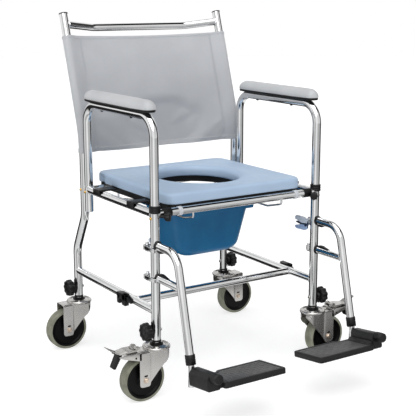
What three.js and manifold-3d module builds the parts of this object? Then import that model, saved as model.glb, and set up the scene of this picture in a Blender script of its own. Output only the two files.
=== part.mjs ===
// Wheeled commode chair: a chromed tube frame on four height-adjustable legs with swivel castors, a padded
// seat with an aperture over a sliding pan, lift-out armrests, a sling backrest, and swing-away footrests.
// Millimetres. +Z is up, the chair faces -Y, and the sitter's left is +X.
import * as THREE from 'three';
import { mergeVertices } from 'three/addons/utils/BufferGeometryUtils.js';
import Module from 'manifold-3d';

const wasm = await Module();
wasm.setup();

// ---- driving dimensions -------------------------------------------------------------------------------
const GAP = 0.3;                  // clearance between pieces that touch
const CENTRE_SHIFT_Y = 147.45;    // moves the whole chair so that its box is centred on the origin

const HALF_WIDTH = 270;           // tube centre lines of both side frames
const FRONT_Y = -270;             // front legs
const REAR_Y = 206;               // rear legs
const SOCKET_Y = 116;             // rear armrest sockets
const TUBE_R = 12.5;              // main tube, 25 mm
const TUBE_BORE = 10.6;
const RAIL_R = 11;                // 22 mm rails
const LEG_BOTTOM = 163;
const LEG_TOP = 512;
const LOWER_RAIL_Z = 242;
const LOWER_BAR_Y = -156;
const SEAT_RAIL_Z = 509;
const UPRIGHT_TOP = 1014;
const UPRIGHT_LEAN = THREE.MathUtils.degToRad(17.6);
const UPRIGHT_Y = 145;            // vertical stretch of the uprights
const UPRIGHT_BEND_Z = 666;
const LEG_BEND_LOW_Z = 315;
const LEG_BEND_HIGH_Z = 427;
const PUSH_BAR_Z = 984;
const PUSH_BAR_SETBACK = 33;
const PUSH_BAR_DROP = 12;
const PUSH_BAR_BEND_X = 160;

const SLING_BOTTOM = 615;         // heights measured along the uprights' centre line
const SLING_TOP = 950;
const SLING_THICK = 3;

const SEAT_HALF_WIDTH = 225;
const SEAT_FRONT_Y = -266;
const SEAT_REAR_Y = 161;
const SEAT_BASE_Z = 520.4;
const SEAT_BASE_THICK = 4;
const SEAT_TOP_Z = 556;
const SEAT_CORNER_R = 26;
const SEAT_CLIPS_Y = [[22, 62], [-176, -140]];
const SEAT_CLIP_THICK = 3;
const APERTURE_Y = -50;
const APERTURE_HALF_WIDTH = 116;
const APERTURE_HALF_LENGTH = 134;

const PAN_CENTRE_Y = -48;
const PAN_WIDTH = 262;
const PAN_LENGTH = 222;
const PAN_TOP_Z = 474.6;
const PAN_BOTTOM_Z = 328;
const PAN_WALL = 3;
const PAN_TAPER = 0.76;
const PAN_FLANGE = 28;
const PAN_FLANGE_THICK = 3;
const PAN_CORNER_R = 46;
const PAN_RAIL_X = 142;
const PAN_RAIL_R = 3;
const PAN_RAIL_FRONT_X = 149;      // each rail rises here to meet the seat's front bar
const PAN_RAIL_FRONT_Z = 485;

const ARM_Z = 764;                // centre line of the armrest's level tube
const ARM_BEND_R = 56;
const COLLAR_TOP = 531;
const COLLAR_R = 15.5;
const SOCKET_TOP = 521;
const SOCKET_BOTTOM = 444;
const ARM_SPIGOT = 72;
const ARM_LOCK_Z = 503;
const ARM_PAD_FRONT_Y = -262;
const ARM_PAD_REAR_Y = 100;
const ARM_PAD_WIDTH = 52;
const ARM_PAD_TOP = 806;
const ARM_PAD_SEAM = 780;
const ARM_PAD_CORNER_R = 22;

const WHEEL_R = 62.5;
const WHEEL_WIDTH = 34;
const DISC_R = 53.5;
const TRAIL = 46;                 // from the swivel axis to the axle
const FORK_GAP_HALF = 20;
const FORK_PLATE = 3;
const CROWN_TOP = 151;
const CROWN_R = 38;
const STEM_R = 10.3;
const STEM_TOP = 286;
const KNOB_Z = 192;
const KNOB_LOBES = 5;
const KNOB_MEAN_R = 21;
const KNOB_LOBE_DEPTH = 4.5;
const KNOB_HEAD_BASE = 22.5;
const KNOB_HEAD_TOP = 41;
const KNOB_SHANK_R = 9;
const AXLE_R = 4;

const HANGER_PIN_X = 276;
const HANGER_PIN_Y = -238;
const HANGER_TOP_Z = 425;
const HANGER_STRUT_Z = 337;
const HINGE_HEIGHTS = [HANGER_TOP_Z - 10, HANGER_STRUT_Z - 3];
const HANGER_TILT = THREE.MathUtils.degToRad(13.3);
const HANGER_KNEE_Y = -380;       // where the hanger's two straight stretches would meet
const HANGER_END_Z = 149;
const HANGER_BEND_R = 52;
const STRUT_R = 10;
const HINGE_PIN_R = 3.5;
const HINGE_SLEEVE_R = 7;
const STRAP_THICK = 3;
const FOOT_TUBE_R = 8;
const FOOT_PIN_R = 5.5;
const PLATE_TILT = THREE.MathUtils.degToRad(8);
const PLATE_INNER_X = 57;
const PLATE_OUTER_X = 236;
const PLATE_REAR_Y = -450;
const PLATE_FRONT_Y = -567;
const PLATE_REAR_TOP_Z = 119;
const PLATE_THICK = 16;
const ROLL_REAR_Y = -441;
const ROLL_FRONT_Y = -576;
const ROLL_REAR_Z = 133;
const ROLL_R = 13.5;
const ROLL_OVERHANG = 12;         // how far the roll stands out in front of the tread
const BLOCK_START = 12;           // the hinge block's ends, measured from the tread's own ends
const BLOCK_SETBACK = 16;
const BLOCK_HALF_WIDTH = 19;
const BLOCK_RISE = 26;

const SIDES = [['left', 1], ['right', -1]];

// ---- materials ----------------------------------------------------------------------------------------
function finish(color, roughness, metalness) {
  return new THREE.MeshStandardMaterial({ color, roughness, metalness });
}
const CHROME = finish(0xd9dbde, 0.12, 1);
const ZINC = finish(0xb4b2ae, 0.38, 0.9);
const BLACK = finish(0x161616, 0.5, 0);
const TYRE = finish(0xa9a794, 0.7, 0);
const SLING_GREY = finish(0xacaeb2, 0.85, 0);
const PAD_GREY = finish(0xc4c7cb, 0.6, 0);
const SEAT_BLUE = finish(0xaec3de, 0.5, 0);
const PAN_BLUE = finish(0x2a6a93, 0.35, 0);
const LEVER_BLUE = finish(0x9fb9d6, 0.45, 0);
const CHARCOAL = finish(0x3b3b3d, 0.65, 0);

// ---- mesh helpers -------------------------------------------------------------------------------------
// Merges shared vertices, drops collapsed triangles and turns the faces outwards.
function closedMesh(geometry) {
  const bare = geometry.clone();
  bare.deleteAttribute('normal');
  bare.deleteAttribute('uv');
  const merged = mergeVertices(bare, 1e-4);
  const points = merged.attributes.position;
  const index = merged.index.array;
  const kept = [];
  const a = new THREE.Vector3();
  const b = new THREE.Vector3();
  const c = new THREE.Vector3();
  let volume = 0;
  for (let i = 0; i < index.length; i += 3) {
    const [p, q, r] = [index[i], index[i + 1], index[i + 2]];
    if (p === q || q === r || r === p) continue;
    kept.push(p, q, r);
    a.fromBufferAttribute(points, p);
    b.fromBufferAttribute(points, q);
    c.fromBufferAttribute(points, r);
    volume += a.dot(b.cross(c));
  }
  if (volume < 0) kept.reverse();
  merged.setIndex(kept);
  return merged;
}

function toSolid(geometry) {
  const mesh = closedMesh(geometry);
  const vertProperties = Float32Array.from(mesh.attributes.position.array);
  const triVerts = Uint32Array.from(mesh.index.array);
  return new wasm.Manifold(new wasm.Mesh({ numProp: 3, vertProperties, triVerts }));
}

function toGeometry(solid) {
  const mesh = solid.getMesh();
  const geometry = new THREE.BufferGeometry();
  geometry.setAttribute('position', new THREE.BufferAttribute(mesh.vertProperties, 3));
  geometry.setIndex(new THREE.BufferAttribute(mesh.triVerts, 1));
  return geometry;
}

function join(...geometries) {
  return toGeometry(geometries.map(toSolid).reduce((whole, piece) => whole.add(piece)));
}

function cut(geometry, ...cutters) {
  return toGeometry(cutters.map(toSolid).reduce((left, tool) => left.subtract(tool), toSolid(geometry)));
}

// A box given by its lowest and highest corners.
function boxBetween(low, high) {
  const size = high.map((value, i) => value - low[i]);
  const geometry = new THREE.BoxGeometry(...size);
  return geometry.translate(...low.map((value, i) => value + size[i] / 2));
}

// A round bar between two points.
function bar(from, to, radius, sides = 16) {
  const start = new THREE.Vector3(...from);
  const along = new THREE.Vector3(...to).sub(start);
  const geometry = new THREE.CylinderGeometry(radius, radius, along.length(), sides);
  geometry.rotateX(Math.PI / 2);
  geometry.translate(0, 0, along.length() / 2);
  const turn = new THREE.Quaternion().setFromUnitVectors(new THREE.Vector3(0, 0, 1), along.normalize());
  geometry.applyQuaternion(turn);
  return geometry.translate(...from);
}

// A turned solid about Z. Each profile point is [radius, height].
function turned(profile, sides = 28) {
  const points = profile.map(([radius, height]) => new THREE.Vector2(radius, height));
  points.push(points[0].clone());
  const geometry = new THREE.LatheGeometry(points, sides);
  return geometry.rotateX(Math.PI / 2);
}

function ring(inner, outer, low, high, sides = 28) {
  return turned([[inner, low], [outer, low], [outer, high], [inner, high]], sides);
}

// A path of straight stretches with rounded corners, sampled only where it turns.
class BentPath extends THREE.Curve {
  constructor(corners, radius, stepsPerBend = 5) {
    super();
    this.stations = [];
    const points = corners.map((corner) => new THREE.Vector3(...corner));
    const last = points.length - 1;
    this.addStation(points[0], points[1].clone().sub(points[0]));
    for (let i = 1; i < last; i += 1) {
      const radiusHere = Array.isArray(radius) ? radius[i - 1] : radius;
      this.addBend(points[i - 1], points[i], points[i + 1], radiusHere, stepsPerBend);
    }
    this.addStation(points[last], points[last].clone().sub(points[last - 1]));
  }

  addStation(point, tangent) {
    this.stations.push({ point: point.clone(), tangent: tangent.clone().normalize() });
  }

  addBend(before, corner, after, radius, steps) {
    const arriving = corner.clone().sub(before).normalize();
    const leaving = after.clone().sub(corner).normalize();
    const angle = arriving.angleTo(leaving);
    const setback = radius * Math.tan(angle / 2);
    const start = corner.clone().addScaledVector(arriving, -setback);
    const sideways = leaving.clone().addScaledVector(arriving, -leaving.dot(arriving)).normalize();
    for (let i = 0; i <= steps; i += 1) {
      const turn = (angle * i) / steps;
      const point = start.clone();
      point.addScaledVector(arriving, radius * Math.sin(turn));
      point.addScaledVector(sideways, radius * (1 - Math.cos(turn)));
      const tangent = arriving.clone().multiplyScalar(Math.cos(turn));
      tangent.addScaledVector(sideways, Math.sin(turn));
      this.addStation(point, tangent);
    }
  }

  stationAt(u) {
    return this.stations[Math.round(u * (this.stations.length - 1))];
  }

  getPoint(u) {
    return this.stationAt(u).point.clone();
  }

  getPointAt(u) {
    return this.getPoint(u);
  }

  getTangentAt(u) {
    return this.stationAt(u).tangent.clone();
  }
}

function circleShape(outer, inner = 0, sides = 16) {
  const shape = new THREE.Shape(circlePoints(outer, sides));
  if (inner > 0) shape.holes.push(new THREE.Path(circlePoints(inner, sides)));
  return shape;
}

function circlePoints(radius, sides, x = 0, y = 0) {
  return Array.from({ length: sides }, (_, i) => {
    const angle = (2 * Math.PI * i) / sides;
    return new THREE.Vector2(x + radius * Math.cos(angle), y + radius * Math.sin(angle));
  });
}

function sweep(shape, path) {
  return new THREE.ExtrudeGeometry(shape, { steps: path.stations.length - 1, extrudePath: path });
}

function tube(corners, bend, outer, inner = 0, sides = 16, steps = 4) {
  return sweep(circleShape(outer, inner, sides), new BentPath(corners, bend, steps));
}

function roundedRect(x0, y0, x1, y1, radius) {
  const shape = new THREE.Shape();
  shape.absarc(x1 - radius, y1 - radius, radius, 0, Math.PI / 2);
  shape.absarc(x0 + radius, y1 - radius, radius, Math.PI / 2, Math.PI);
  shape.absarc(x0 + radius, y0 + radius, radius, Math.PI, 1.5 * Math.PI);
  shape.absarc(x1 - radius, y0 + radius, radius, 1.5 * Math.PI, 2 * Math.PI);
  return shape;
}

// A flat outline in XY thickened from one height to another, with optional rounded edges.
function slab(shape, low, high, edge = 0, segments = 5) {
  const geometry = new THREE.ExtrudeGeometry(shape, {
    depth: high - low - 2 * edge,
    bevelEnabled: edge > 0,
    bevelThickness: edge,
    bevelSize: edge,
    bevelOffset: -edge,
    bevelSegments: 1,
    curveSegments: segments,
  });
  return geometry.translate(0, 0, low + edge);
}

// An outline in the YZ plane, as [y, z] points, thickened across X.
function plateAcrossX(points, low, high) {
  const shape = new THREE.Shape(points.map(([y, z]) => new THREE.Vector2(y, z)));
  const geometry = new THREE.ExtrudeGeometry(shape, { depth: high - low, bevelEnabled: false });
  geometry.rotateY(Math.PI / 2);
  geometry.rotateX(Math.PI / 2);
  return geometry.translate(low, 0, 0);
}

// An outline in the XZ plane, as [x, z] points, thickened along Y.
function plateAcrossY(points, low, high) {
  const shape = new THREE.Shape(points.map(([x, z]) => new THREE.Vector2(x, z)));
  const geometry = new THREE.ExtrudeGeometry(shape, { depth: high - low, bevelEnabled: false });
  geometry.rotateX(Math.PI / 2);
  return geometry.translate(0, high, 0);
}

function mirrored(geometry, side) {
  return side > 0 ? geometry : closedMesh(geometry.clone().scale(-1, 1, 1));
}

// ---- the assembly -------------------------------------------------------------------------------------
const chair = new THREE.Group();
const model = new THREE.Group();
model.position.y = CENTRE_SHIFT_Y;
chair.add(model);

function addPart(name, geometry, material) {
  const mesh = new THREE.Mesh(closedMesh(geometry), material);
  mesh.name = name;
  model.add(mesh);
}

// A tube's outer surface plus the clearance, used to shape the ends of tubes that meet it.
function legCutter(y = FRONT_Y) {
  return bar([HALF_WIDTH, y, LEG_BOTTOM - 5], [HALF_WIDTH, y, LEG_TOP + 30], TUBE_R + GAP);
}

// The front leg together with the collar on top of it.
function collaredLegCutter() {
  const collar = bar([HALF_WIDTH, FRONT_Y, LEG_TOP], [HALF_WIDTH, FRONT_Y, COLLAR_TOP + 5],
    COLLAR_R + GAP, 24);
  return join(legCutter(), collar);
}

const uprightCorners = [
  [HALF_WIDTH, REAR_Y, LEG_BOTTOM],
  [HALF_WIDTH, REAR_Y, LEG_BEND_LOW_Z],
  [HALF_WIDTH, UPRIGHT_Y, LEG_BEND_HIGH_Z],
  [HALF_WIDTH, UPRIGHT_Y, UPRIGHT_BEND_Z],
  uprightPoint(UPRIGHT_TOP),
];
const UPRIGHT_BENDS = [70, 70, 260];

// The point at a given height on the uprights' leaning stretch.
function uprightPoint(height) {
  return [HALF_WIDTH, UPRIGHT_Y + (height - UPRIGHT_BEND_Z) * Math.tan(UPRIGHT_LEAN), height];
}

function frontLeg() {
  const wall = tube([[HALF_WIDTH, FRONT_Y, LEG_BOTTOM], [HALF_WIDTH, FRONT_Y, LEG_TOP]], 0,
    TUBE_R, TUBE_BORE);
  const pieces = [wall];
  for (const height of HINGE_HEIGHTS) {
    // An ear behind the leg carries a short upright hinge pin for the footrest hanger.
    const ear = boxBetween([HANGER_PIN_X - 5, FRONT_Y + TUBE_R - 1.4, height - 11],
      [HANGER_PIN_X + 5, HANGER_PIN_Y + 5, height - 8]);
    pieces.push(ear);
    pieces.push(bar([HANGER_PIN_X, HANGER_PIN_Y, height - 9], [HANGER_PIN_X, HANGER_PIN_Y, height + 12],
      HINGE_PIN_R, 12));
  }
  return join(...pieces);
}

function sideRail() {
  const rail = bar([HALF_WIDTH, FRONT_Y + 4, SEAT_RAIL_Z], [HALF_WIDTH, SOCKET_Y - 2, SEAT_RAIL_Z], RAIL_R);
  const socket = bar([HALF_WIDTH, SOCKET_Y, SOCKET_BOTTOM], [HALF_WIDTH, SOCKET_Y, SOCKET_TOP], TUBE_R);
  const webs = [SOCKET_BOTTOM + 10, SOCKET_TOP - 24].map((height) => boxBetween(
    [HALF_WIDTH - 4, SOCKET_Y + 9, height], [HALF_WIDTH + 4, UPRIGHT_Y, height + 12]));
  const bore = bar([HALF_WIDTH, SOCKET_Y, SOCKET_BOTTOM - 5], [HALF_WIDTH, SOCKET_Y, SOCKET_TOP + 5],
    TUBE_BORE);
  const upright = bar([HALF_WIDTH, UPRIGHT_Y, SOCKET_BOTTOM - 20], [HALF_WIDTH, UPRIGHT_Y, SOCKET_TOP + 20],
    TUBE_R + GAP);
  return cut(join(rail, socket, ...webs), bore, upright, collaredLegCutter());
}

function lowerRail() {
  const rail = bar([HALF_WIDTH, FRONT_Y + 4, LOWER_RAIL_Z], [HALF_WIDTH, REAR_Y - 4, LOWER_RAIL_Z], RAIL_R);
  return cut(rail, legCutter(), legCutter(REAR_Y));
}

// A level bar from side to side, shaped to the round members that it meets.
function crossBar(y, z, ...cutters) {
  const whole = bar([-HALF_WIDTH + 4, y, z], [HALF_WIDTH - 4, y, z], RAIL_R);
  return cut(whole, ...cutters, ...cutters.map((cutter) => mirrored(cutter, -1)));
}

// The outer surface of a side rail plus the clearance.
function railCutter(z) {
  return bar([HALF_WIDTH, REAR_Y, z], [HALF_WIDTH, FRONT_Y - 2, z], RAIL_R + GAP);
}

function pushBar() {
  const [, endY] = uprightPoint(PUSH_BAR_Z);
  const middle = [endY + PUSH_BAR_SETBACK, PUSH_BAR_Z - PUSH_BAR_DROP];
  const corners = [
    [-HALF_WIDTH + 3, endY, PUSH_BAR_Z],
    [-PUSH_BAR_BEND_X, ...middle],
    [PUSH_BAR_BEND_X, ...middle],
    [HALF_WIDTH - 3, endY, PUSH_BAR_Z],
  ];
  const cutter = bar(uprightPoint(PUSH_BAR_Z - 60), uprightPoint(PUSH_BAR_Z + 50), TUBE_R + GAP);
  return cut(tube(corners, 90, RAIL_R, 0, 16, 3), cutter, mirrored(cutter, -1));
}

function sling() {
  const sleeve = TUBE_R + GAP + 0.4;
  const outer = sleeve + SLING_THICK;
  const shape = new THREE.Shape();
  const meet = Math.asin(SLING_THICK / 2 / outer);
  // The cross section: a panel between two sleeves that wrap the uprights, with its width along the
  // section's second axis.
  shape.absarc(0, HALF_WIDTH, outer, 1.5 * Math.PI + meet, 3.5 * Math.PI - meet, false);
  shape.absarc(0, -HALF_WIDTH, outer, 0.5 * Math.PI + meet, 2.5 * Math.PI - meet, false);
  for (const x of [-HALF_WIDTH, HALF_WIDTH]) shape.holes.push(new THREE.Path(circlePoints(sleeve, 16, 0, x)));
  const bottom = [0, UPRIGHT_Y, SLING_BOTTOM];
  const bend = [0, UPRIGHT_Y, UPRIGHT_BEND_Z];
  const top = [0, ...uprightPoint(SLING_TOP).slice(1)];
  const path = new BentPath([bottom, bend, top], UPRIGHT_BENDS[2], 3);
  return new THREE.ExtrudeGeometry(shape, {
    steps: path.stations.length - 1, extrudePath: path, curveSegments: 8,
  });
}

// ---- seat, pan ----------------------------------------------------------------------------------------
function aperturePath(margin) {
  const stretch = (APERTURE_HALF_LENGTH + margin) / (APERTURE_HALF_WIDTH + margin);
  const points = circlePoints(APERTURE_HALF_WIDTH + margin, 28);
  return new THREE.Path(points.map(({ x, y }) => new THREE.Vector2(x, APERTURE_Y + stretch * y)));
}

function seatPad() {
  const outline = roundedRect(-SEAT_HALF_WIDTH, SEAT_FRONT_Y, SEAT_HALF_WIDTH, SEAT_REAR_Y, SEAT_CORNER_R);
  outline.holes.push(aperturePath(0));
  return slab(outline, SEAT_BASE_Z + SEAT_BASE_THICK + GAP, SEAT_TOP_Z, 8, 6);
}

function seatBase() {
  const outline = roundedRect(-SEAT_HALF_WIDTH + 6, SEAT_FRONT_Y + 6, SEAT_HALF_WIDTH - 6, SEAT_REAR_Y - 6,
    SEAT_CORNER_R - 4);
  outline.holes.push(aperturePath(6));
  const board = slab(outline, SEAT_BASE_Z, SEAT_BASE_Z + SEAT_BASE_THICK, 0, 8);
  const pieces = [board];
  for (const side of [1, -1]) {
    for (const [y0, y1] of SEAT_CLIPS_Y) {
      // A clip reaches over the side rail and grips its outer side.
      const tongue = boxBetween([SEAT_HALF_WIDTH - 20, y0, SEAT_BASE_Z],
        [HALF_WIDTH + RAIL_R + SEAT_CLIP_THICK, y1, SEAT_BASE_Z + SEAT_BASE_THICK]);
      const lip = boxBetween([HALF_WIDTH + RAIL_R + GAP, y0, SEAT_RAIL_Z - 2],
        [HALF_WIDTH + RAIL_R + SEAT_CLIP_THICK, y1, SEAT_BASE_Z + 1]);
      pieces.push(mirrored(tongue, side), mirrored(lip, side));
    }
  }
  return join(...pieces);
}

// A rounded rectangular prism whose section shrinks towards its bottom.
function taperedPrism(halfWidth, halfLength, radius, low, high, taper) {
  const outline = roundedRect(-halfWidth, -halfLength, halfWidth, halfLength, radius);
  const geometry = slab(outline, low, high, 0, 6);
  const points = geometry.attributes.position;
  for (let i = 0; i < points.count; i += 1) {
    const scale = taper + ((1 - taper) * (points.getZ(i) - low)) / (high - low);
    points.setXY(i, points.getX(i) * scale, points.getY(i) * scale);
  }
  return geometry.translate(0, PAN_CENTRE_Y, 0);
}

function pan() {
  const half = [PAN_WIDTH / 2, PAN_LENGTH / 2];
  const outside = taperedPrism(half[0], half[1], PAN_CORNER_R, PAN_BOTTOM_Z, PAN_TOP_Z + 2, PAN_TAPER);
  const outline = roundedRect(-half[0] - PAN_FLANGE, PAN_CENTRE_Y - half[1] - 8, half[0] + PAN_FLANGE,
    PAN_CENTRE_Y + half[1] + 8, 30);
  const flange = slab(outline, PAN_TOP_Z, PAN_TOP_Z + PAN_FLANGE_THICK, 0, 6);
  const inside = taperedPrism(half[0] - PAN_WALL, half[1] - PAN_WALL, PAN_CORNER_R - PAN_WALL,
    PAN_BOTTOM_Z + PAN_WALL, PAN_TOP_Z + 6, PAN_TAPER);
  return cut(join(outside, flange), inside);
}

function panRail() {
  const hangX = PAN_RAIL_X + 32;
  const low = PAN_TOP_Z - GAP - PAN_RAIL_R;
  const top = SEAT_RAIL_Z - 6;
  const corners = [
    [PAN_RAIL_FRONT_X, FRONT_Y + 3, top],
    [PAN_RAIL_FRONT_X, FRONT_Y + 3, PAN_RAIL_FRONT_Z],
    [PAN_RAIL_X, FRONT_Y + 60, low],
    [PAN_RAIL_X, SOCKET_Y - 40, low],
    [hangX, SOCKET_Y - 3, low],
    [hangX, SOCKET_Y - 3, top],
  ];
  const wire = tube(corners, [8, 12, 12, 8], PAN_RAIL_R, 0, 8, 2);
  const rails = [FRONT_Y, SOCKET_Y].map((y) => bar([0, y, SEAT_RAIL_Z], [HALF_WIDTH, y, SEAT_RAIL_Z],
    RAIL_R + GAP));
  return cut(wire, ...rails);
}

// ---- armrests -----------------------------------------------------------------------------------------
function armTube() {
  const loop = tube([
    [HALF_WIDTH, FRONT_Y, COLLAR_TOP + GAP],
    [HALF_WIDTH, FRONT_Y, ARM_Z],
    [HALF_WIDTH, SOCKET_Y, ARM_Z],
    [HALF_WIDTH, SOCKET_Y, SOCKET_TOP + GAP],
  ], ARM_BEND_R, TUBE_R);
  const spigotR = TUBE_BORE - GAP;
  const front = bar([HALF_WIDTH, FRONT_Y, LEG_TOP - ARM_SPIGOT], [HALF_WIDTH, FRONT_Y, COLLAR_TOP + 5],
    spigotR, 16);
  const rear = bar([HALF_WIDTH, SOCKET_Y, SOCKET_TOP - ARM_SPIGOT + 8],
    [HALF_WIDTH, SOCKET_Y, SOCKET_TOP + 5], spigotR, 16);
  return join(loop, front, rear);
}

function armPad() {
  const half = ARM_PAD_WIDTH / 2;
  const outline = roundedRect(HALF_WIDTH - half, ARM_PAD_FRONT_Y, HALF_WIDTH + half, ARM_PAD_REAR_Y,
    ARM_PAD_CORNER_R);
  return slab(outline, ARM_PAD_SEAM + GAP, ARM_PAD_TOP, 8, 4);
}

function armPadBase() {
  const half = ARM_PAD_WIDTH / 2 - 1;
  const outline = roundedRect(HALF_WIDTH - half, ARM_PAD_FRONT_Y + 1, HALF_WIDTH + half, ARM_PAD_REAR_Y - 1,
    ARM_PAD_CORNER_R - 1);
  const board = slab(outline, ARM_PAD_SEAM - 12, ARM_PAD_SEAM, 0, 4);
  const seat = tube([
    [HALF_WIDTH, FRONT_Y, ARM_Z - 80],
    [HALF_WIDTH, FRONT_Y, ARM_Z],
    [HALF_WIDTH, SOCKET_Y, ARM_Z],
    [HALF_WIDTH, SOCKET_Y, ARM_Z - 80],
  ], ARM_BEND_R, TUBE_R + GAP);
  return cut(board, seat);
}

// Turns a solid made along +Z so that it points along a direction, then moves its base to a point.
function pointed(geometry, direction, base) {
  const turn = new THREE.Quaternion().setFromUnitVectors(
    new THREE.Vector3(0, 0, 1), new THREE.Vector3(...direction).normalize());
  return geometry.applyQuaternion(turn).translate(...base);
}

function armLockKnob() {
  const profile = [[0, TUBE_R + 1.2], [4, TUBE_R + 1.2], [4, 27], [8, 28], [12, 31], [12.4, 38], [10, 42],
    [0, 43.5]];
  return pointed(turned(profile, 20), [-1, -1, 0], [HALF_WIDTH, FRONT_Y, ARM_LOCK_Z]);
}

// ---- legs and castors ---------------------------------------------------------------------------------
function stem(y) {
  return ring(6, STEM_R, CROWN_TOP + GAP, STEM_TOP, 16).translate(HALF_WIDTH, y, 0);
}

function starKnob(y) {
  const outline = new THREE.Shape();
  const steps = KNOB_LOBES * 4;
  for (let i = 0; i < steps; i += 1) {
    const angle = (2 * Math.PI * i) / steps;
    const radius = KNOB_MEAN_R + KNOB_LOBE_DEPTH * Math.cos(KNOB_LOBES * angle);
    const point = [radius * Math.cos(angle), radius * Math.sin(angle)];
    if (i === 0) outline.moveTo(...point);
    else outline.lineTo(...point);
  }
  const head = slab(outline, KNOB_HEAD_BASE, KNOB_HEAD_TOP, 2.5, 1);
  const shank = bar([0, 0, TUBE_R + 1], [0, 0, KNOB_HEAD_BASE + 2], KNOB_SHANK_R, 16);
  return pointed(join(head, shank), [1, 0, 0], [HALF_WIDTH, y, KNOB_Z]);
}

function fork(y, braked) {
  const axleX = HALF_WIDTH + TRAIL;
  const half = FORK_GAP_HALF;
  const pieces = [];
  pieces.push(ring(7, CROWN_R, CROWN_TOP - 8, CROWN_TOP, 20).translate(HALF_WIDTH, y, 0));
  pieces.push(boxBetween([HALF_WIDTH - 26, y - half - FORK_PLATE, CROWN_TOP - 11],
    [axleX + 18, y + half + FORK_PLATE, CROWN_TOP - 7]));
  for (const side of [1, -1]) {
    const inner = y + side * half;
    const outer = y + side * (half + FORK_PLATE);
    const outline = [
      [HALF_WIDTH - 26, CROWN_TOP - 7.5], [HALF_WIDTH - 26, 128], [axleX - 17, 58], [axleX - 10, 44],
      [axleX + 10, 44], [axleX + 18, 52], [axleX + 18, CROWN_TOP - 7.5],
    ];
    pieces.push(plateAcrossY(outline, Math.min(inner, outer), Math.max(inner, outer)));
  }
  pieces.push(bar([axleX, y - half - FORK_PLATE - 5, WHEEL_R], [axleX, y + half + FORK_PLATE + 5, WHEEL_R],
    AXLE_R, 12));
  if (braked) {
    // The brake's bracket: two cheeks reaching out over the tyre.
    for (const side of [1, -1]) {
      const inner = y + side * half;
      const outer = y + side * (half + FORK_PLATE);
      const cheek = [[axleX + 10, CROWN_TOP - 8], [axleX + 10, 122], [axleX + 20, 122], [axleX + 62, 136],
        [axleX + 62, CROWN_TOP - 8]];
      pieces.push(plateAcrossY(cheek, Math.min(inner, outer), Math.max(inner, outer)));
    }
  }
  return join(...pieces);
}

function tyre(y) {
  const half = WHEEL_WIDTH / 2;
  const profile = [[DISC_R + GAP, -half + 1], [WHEEL_R - 4, -half], [WHEEL_R, -half + 7],
    [WHEEL_R, half - 7], [WHEEL_R - 4, half], [DISC_R + GAP, half - 1]];
  return turned(profile, 32).rotateX(Math.PI / 2).translate(HALF_WIDTH + TRAIL, y, WHEEL_R);
}

function hub(y) {
  const half = WHEEL_WIDTH / 2;
  const bore = AXLE_R + GAP + 0.1;
  const profile = [[bore, -half - 2], [13, -half - 2], [16, -half + 5], [DISC_R, -half + 1],
    [DISC_R, half - 1], [16, half - 5], [13, half + 2], [bore, half + 2]];
  return turned(profile, 24).rotateX(Math.PI / 2).translate(HALF_WIDTH + TRAIL, y, WHEEL_R);
}

function brakePedal(y) {
  const pivotX = HALF_WIDTH + TRAIL + 40;
  const inner = FORK_GAP_HALF - 1;
  // A tongue to press down and, under it, a lever that lifts it again.
  const tongue = plateAcrossY([[pivotX - 28, 152], [pivotX + 10, 150], [pivotX + 30, 146], [pivotX + 44, 152],
    [pivotX + 68, 167], [pivotX + 68, 170], [pivotX + 42, 157], [pivotX + 30, 151], [pivotX + 12, 155],
    [pivotX - 28, 157]], y - inner, y + inner);
  const release = plateAcrossY([[pivotX + 20, 148], [pivotX + 45, 106], [pivotX + 53, 110],
    [pivotX + 34, 149]], y - inner + 4, y + inner - 4);
  const shoe = plateAcrossY([[pivotX - 12, 154], [pivotX - 14, 128], [pivotX - 4, 124], [pivotX + 8, 130],
    [pivotX + 14, 153]], y - inner + 4, y + inner - 4);
  return join(tongue, release, shoe);
}

// ---- footrests ----------------------------------------------------------------------------------------
// The hanger's lower stretch, at a given height.
function hangerPoint(height) {
  return [HALF_WIDTH, HANGER_KNEE_Y - (HANGER_TOP_Z - height) * Math.tan(HANGER_TILT), height];
}

function hanger() {
  const startY = FRONT_Y - TUBE_R - 2.5;
  const main = tube([[HALF_WIDTH, startY, HANGER_TOP_Z], [HALF_WIDTH, HANGER_KNEE_Y, HANGER_TOP_Z],
    hangerPoint(HANGER_END_Z)], HANGER_BEND_R, RAIL_R, 0, 16, 4);
  const [, strutEnd] = hangerPoint(HANGER_STRUT_Z);
  const strut = bar([HALF_WIDTH, startY, HANGER_STRUT_Z], [HALF_WIDTH, strutEnd, HANGER_STRUT_Z], STRUT_R);
  const pieces = [main, strut];
  const outerX = HALF_WIDTH + TUBE_R + 2;
  for (const height of HINGE_HEIGHTS) {
    // A strap runs past the leg's outer side from the tube to a sleeve on the hinge pin.
    const strap = boxBetween([outerX, startY - 12, height - 7],
      [outerX + STRAP_THICK, HANGER_PIN_Y + 1, height + 7]);
    const front = boxBetween([HALF_WIDTH - 6, startY - 12, height - 7],
      [outerX + STRAP_THICK, startY - 8, height + 7]);
    const back = boxBetween([HANGER_PIN_X, HANGER_PIN_Y - 3, height - 7],
      [outerX + STRAP_THICK, HANGER_PIN_Y + 3, height + 7]);
    const sleeve = bar([HANGER_PIN_X, HANGER_PIN_Y, height - 7], [HANGER_PIN_X, HANGER_PIN_Y, height + 7],
      HINGE_SLEEVE_R, 16);
    pieces.push(strap, front, back, sleeve);
  }
  const pinHole = bar([HANGER_PIN_X, HANGER_PIN_Y, 300], [HANGER_PIN_X, HANGER_PIN_Y, 440],
    HINGE_PIN_R + GAP + 0.1, 12);
  const bore = bar(hangerPoint(HANGER_END_Z - 8), hangerPoint(HANGER_STRUT_Z - 30),
    FOOT_TUBE_R + GAP + 0.1, 16);
  return cut(join(...pieces), pinHole, bore);
}

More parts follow.
